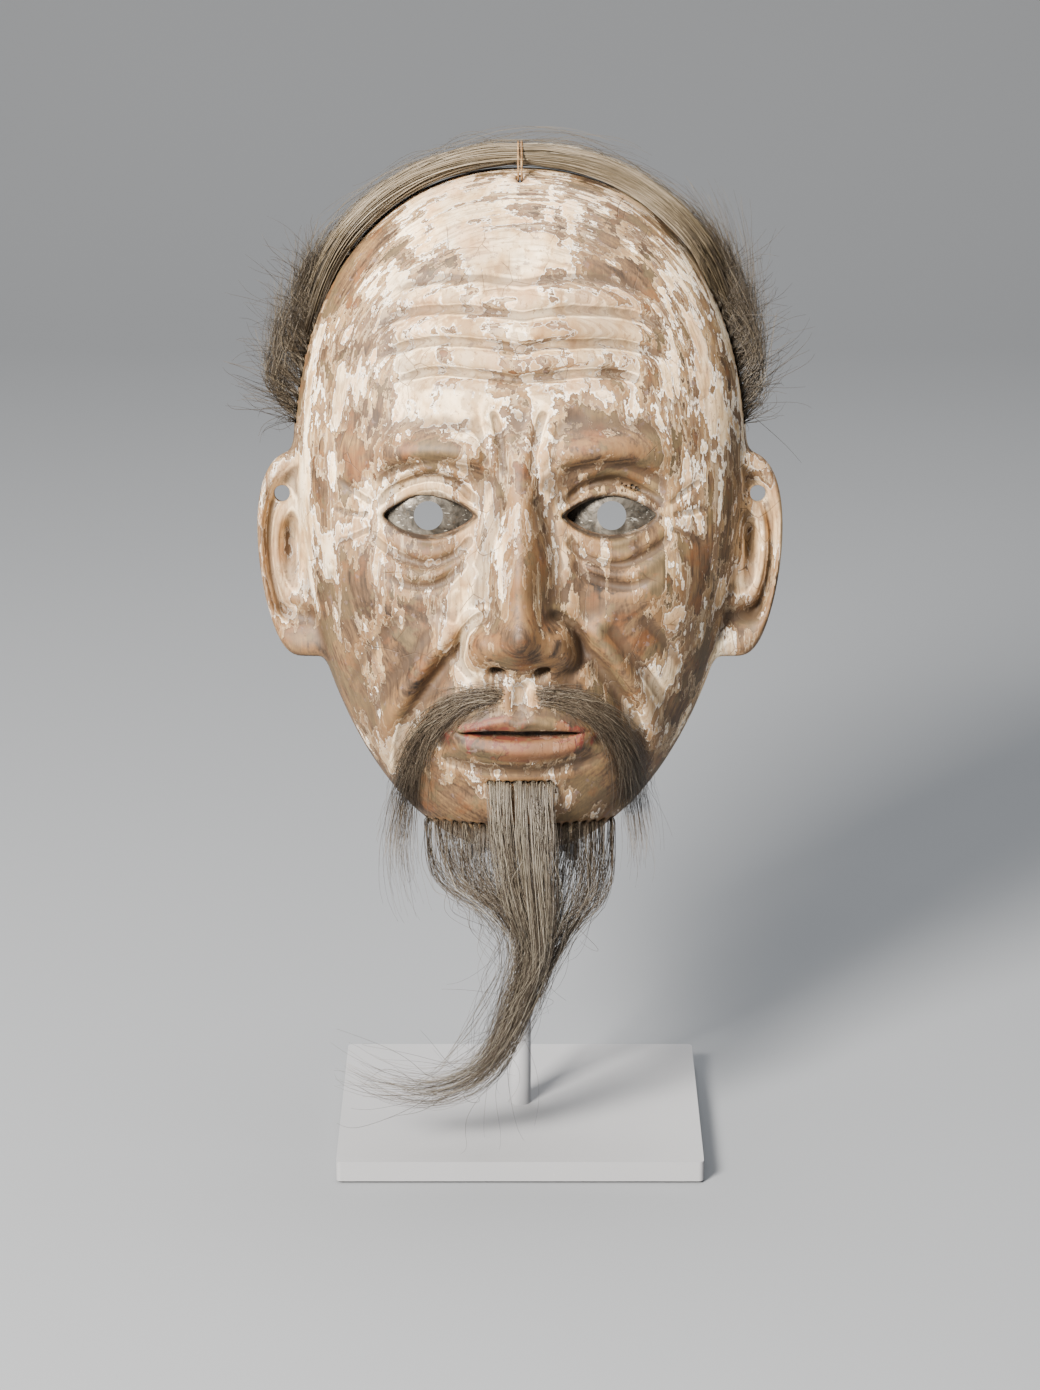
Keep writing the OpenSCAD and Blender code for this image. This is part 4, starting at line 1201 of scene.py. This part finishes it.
def beard(seed):
    """Two planted rows, under the lip and across the chin, run together in one long curved tail."""
    rng = np.random.default_rng(seed)
    hair = Hair()
    steps = 30
    fine = spline(BEARD_LINE[:, :3], 120)
    knot = np.linspace(0, len(BEARD_LINE) - 1, 120)
    half_w, half_d = (np.interp(knot, np.arange(len(BEARD_LINE)), BEARD_LINE[:, k]) for k in (3, 4))
    along = unit(np.gradient(fine, axis=0))
    across = unit(np.cross(np.array([0, -1.0, 0]), along))
    blend_in = smooth_step(knot, 2.5, 6)[:, None]
    across = unit((1 - blend_in) * np.array([1.0, 0, 0]) + blend_in * across)
    depth = np.array([0, -1.0, 0])

    def tail(spot, start, finish):
        place = start[:, None] + (finish - start)[:, None] * np.linspace(0, 1, steps)[None, :] ** 0.9
        index = np.clip(place * 119, 0, 118.999)
        i = index.astype(int)
        f = (index - i)[..., None]
        centre = fine[i] * (1 - f) + fine[i + 1] * f
        side = across[i] * (1 - f) + across[i + 1] * f
        wide = (half_w[i] * (1 - f[..., 0]) + half_w[i + 1] * f[..., 0])[..., None]
        deep = (half_d[i] * (1 - f[..., 0]) + half_d[i + 1] * f[..., 0])[..., None]
        return centre + side * wide * spot[:, :1, None] + depth * deep * spot[:, 1:, None]

    def row(count, root_of, tufts, start_at, front, shade, radii, join_by):
        for i in range(tufts):
            root, way = root_of(i)
            spot_root = disc(rng, count)
            base = root + np.column_stack([spot_root * 0.9, np.zeros(count)]) - 0.8 * way
            lead = base + rng.uniform(1.6, 2.8) * way + np.column_stack([spot_root * 0.5, np.zeros(count)])
            lead[:, 0] += rng.normal(0, 0.25)
            world_base, world_lead = to_world(base), to_world(lead)
            middle = root[0] / (28.5 if tufts == CHIN_TUFTS else 34.0)
            spot = np.column_stack([
                np.clip(middle + rng.normal(0, 0.17, count) + 0.10 * rng.normal(), -1.1, 1.1),
                np.clip(rng.normal(front, 0.35, count), -1, 1)])
            finish = np.clip(rng.beta(2.4, 2.2, count) * 1.08, 0.25, 1.0)
            finish = np.where(rng.uniform(size=count) < 0.22, rng.uniform(0.12, 0.5, count), finish)
            begin = np.full(count, start_at)
            lines = tail(spot, begin, np.maximum(finish, begin + 0.08))
            t = np.linspace(0, 1, steps)[None, :, None] * (finish - begin).clip(0.08)[:, None, None]
            join = smooth_step(t, 0.0, join_by * rng.uniform(0.5, 1.9 if root[0] > 0 else 1.5, (count, 1, 1)))
            drop = world_lead[:, None] + np.array([0, -0.6, -1.0]) * (t * 230)
            lines = drop * (1 - join) + lines * join
            lines = np.concatenate([world_base[:, None], world_lead[:, None], lines[:, 1:]], 1)
            lines += (wobble(rng, count, steps + 1, 1.5, (1.0, 2.2), 1.2)
                      + wobble(rng, 1, steps + 1, 1.8, (0.8, 1.7), 1.1))
            hair.scatter(rng, lines, radii, (shade, 0.2))

    row(40, chin_root, CHIN_TUFTS, 0.04, -0.1, 0.40, (0.05, 0.085), 0.10)
    row(48, lip_root, LIP_TUFTS, 0.10, 0.6, 0.66, (0.055, 0.09), 0.16)
    # Strays leave the tail on their own curves
    loose = 110
    spot = disc(rng, loose)
    start = rng.uniform(0.05, 0.75, loose)
    lines = tail(spot * 0.8, start, np.minimum(1, start + rng.uniform(0.12, 0.35, loose)))
    lines += wobble(rng, loose, steps, 4.0, (0.6, 1.4), 1.4)
    hair.scatter(rng, lines, (0.06, 0.09), (0.15, 0.15))
    wear(hair.build("beard_hair", BEARD_HAIR), "mask", "beard_hair", "beard_tail", "chin_tufts", "lip_tufts")


crown_lock(-1, 21)
crown_lock(1, 22)
temple_hair(-1, 23)
temple_hair(1, 24)
moustache(-1, 25)
moustache(1, 26)
beard(27)

# ---- Tie over the crown: two cords, each of two twisted plies ----


def tube(path, radius, sides):
    """Points and quads of a tube round a closed path."""
    along = unit(np.roll(path, -1, 0) - np.roll(path, 1, 0))
    side = unit(np.cross(along, np.array([1.0, 0.02, 0.01])))
    other = np.cross(along, side)
    a = 2 * math.pi * np.arange(sides) / sides
    spoke = side[:, None] * np.cos(a)[None, :, None] + other[:, None] * np.sin(a)[None, :, None]
    rings = path[:, None] + radius * spoke
    n = len(path)
    i = np.arange(n)[:, None]
    k = np.arange(sides)[None, :]
    j, m = (i + 1) % n, (k + 1) % sides
    quads = np.stack(np.broadcast_arrays(i * sides + k, i * sides + m, j * sides + m, j * sides + k), -1)
    return rings.reshape(-1, 3), quads.reshape(-1, 4)


TIE_LOOP = [
    (100, -0.6), (100, 8), (100, 17.0), (101.6, 18.2), (104.8, 17.0), (108.0, 15.4), (110.6, 13.4),
    (111.3, 11), (111.0, 8.3), (111.3, 5.4), (110.4, 2.8), (107.8, 1.5), (104.4, 0.7), (101.4, -1.4),
]
TIE_STEPS, TIE_TWISTS = 260, 34
PLY_R, PLY_ASIDE = 0.2, 0.17
tie_points, tie_quads, total = [], [], 0
for cord_u in (-0.5, 0.5):
    loop = spline(np.array([(cord_u, v, w) for v, w in TIE_LOOP]), TIE_STEPS, closed=True)
    along = unit(np.roll(loop, -1, 0) - np.roll(loop, 1, 0))
    side = np.tile(np.array([1.0, 0, 0]), (TIE_STEPS, 1))
    other = np.cross(along, side)
    turns = 2 * math.pi * TIE_TWISTS * np.arange(TIE_STEPS) / TIE_STEPS
    for ply in (0, math.pi):
        path = loop + PLY_ASIDE * (side * np.cos(turns + ply)[:, None] + other * np.sin(turns + ply)[:, None])
        points, quads = tube(path, PLY_R, 6)
        tie_points.append(points)
        tie_quads.append(quads + total)
        total += len(points)
tie = make_mesh("crown_tie_cord", to_world(np.concatenate(tie_points)), np.concatenate(tie_quads),
                twine("tie_cord"))
wear(tie, "mask", "tie_cord", "crown_tie")

# ---- Felt: the sheet under the base and the two balls that the forehead rests on ----

FELT = felt("pad_felt", "6c6a66", "4b4946")
BALL_ROUND, BALL_RISE = 48, 25
for side, name in ((-1, "left"), (1, "right")):
    low, high = (np.array(c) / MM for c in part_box(f"brow_pad_{name}"))
    centre, half = (low + high) / 2, (high - low) / 2
    turn, rise = np.meshgrid(np.linspace(0, 2 * math.pi, BALL_ROUND + 1)[:-1],
                             np.linspace(-math.pi / 2, math.pi / 2, BALL_RISE), indexing="ij")
    ball = np.stack([np.sin(rise), np.cos(rise) * np.cos(turn), np.cos(rise) * np.sin(turn)], -1)
    fuzz = 1 - 0.05 * np.random.default_rng(31).uniform(0, 1, turn.shape)
    fuzz[:, 0] = fuzz[0, 0]
    fuzz[:, -1] = fuzz[0, -1]
    ball = centre + ball * half * fuzz[..., None]
    i, j = np.meshgrid(np.arange(BALL_ROUND), np.arange(BALL_RISE - 1), indexing="ij")
    here, after = i * BALL_RISE + j, (i + 1) % BALL_ROUND * BALL_RISE + j
    faces = np.stack([here, after, after + 1, here + 1], -1).reshape(-1, 4)
    pad = make_mesh(f"felt_ball_{name}", ball.reshape(-1, 3), faces, FELT)
    wear(pad, "stand", "pad_felt", f"brow_pad_{name}")

low, high = (np.array(c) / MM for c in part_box("base_felt"))
SHEET_STEPS = (54, 44)
gx = np.linspace(low[0], high[0], SHEET_STEPS[0])
gy = np.linspace(low[1], high[1], SHEET_STEPS[1])
sx, sy = np.meshgrid(gx, gy, indexing="ij")
edge = np.minimum(np.minimum(sx - low[0], high[0] - sx), np.minimum(sy - low[1], high[1] - sy))
sag = 0.10 * (1 + lattice_noise(sx, sy, 5, 11)) + 0.12 * (edge < 0.5)
under = np.stack([sx, sy, low[2] + sag], -1).reshape(-1, 3)
over = np.stack([sx, sy, np.full_like(sx, high[2] - 0.02)], -1).reshape(-1, 3)
i, j = np.meshgrid(np.arange(SHEET_STEPS[0] - 1), np.arange(SHEET_STEPS[1] - 1), indexing="ij")
cell = (i * SHEET_STEPS[1] + j).ravel()
across = SHEET_STEPS[1]
bottom = np.stack([cell, cell + 1, cell + across + 1, cell + across], -1)
top = bottom[:, ::-1] + len(under)
rim = np.concatenate([np.arange(across), across * np.arange(1, SHEET_STEPS[0]) + across - 1,
                      len(under) - 1 - np.arange(1, across), across * np.arange(SHEET_STEPS[0] - 2, 0, -1)])
after = np.roll(rim, -1)
sides = np.stack([rim, rim + len(under), after + len(under), after], -1)
base_felt = make_mesh("base_felt_sheet", np.concatenate([under, over]), np.concatenate([bottom, top, sides]),
                      felt("base_felt", "4f4d4a", "353331"), smooth=False)
wear(base_felt, "stand", "base_felt", "base_felt")

# ---- Painted stand: its edges are eased ----

for name, width in (("base_plate", 0.45), ("post", 0.2)):
    ease = nodes[name].modifiers.new("eased_edges", "BEVEL")
    ease.width = width * MM
    ease.segments = 2
    ease.limit_method = "ANGLE"
    ease.angle_limit = math.radians(50)

# ---- Floor that sweeps up into a backdrop ----

sweep = [(y, 0.0) for y in np.linspace(-8.0, 1.1, 12)]
sweep += [(1.1 + 0.9 * math.sin(a), 0.9 - 0.9 * math.cos(a)) for a in np.linspace(0.08, math.pi / 2, 18)]
sweep += [(2.0, z) for z in np.linspace(1.1, 3.6, 6)]
floor_points = np.array([(x, y, z) for x in (-8.0, 8.0) for y, z in sweep]) / MM
rows = np.arange(len(sweep) - 1)
floor_quads = np.stack([rows, rows + len(sweep), rows + len(sweep) + 1, rows + 1], -1)
paper = Nodes("backdrop_paper")
mottle = paper.noise(420, detail=2)
paper_colour = paper.mix(mottle, "76797d", "797c80")
paper_roughness = paper.step(mottle, 0.5, 0.5, 0.85, 0.95)
floor = make_mesh("backdrop", floor_points, floor_quads, paper.finish(paper_colour, paper_roughness))
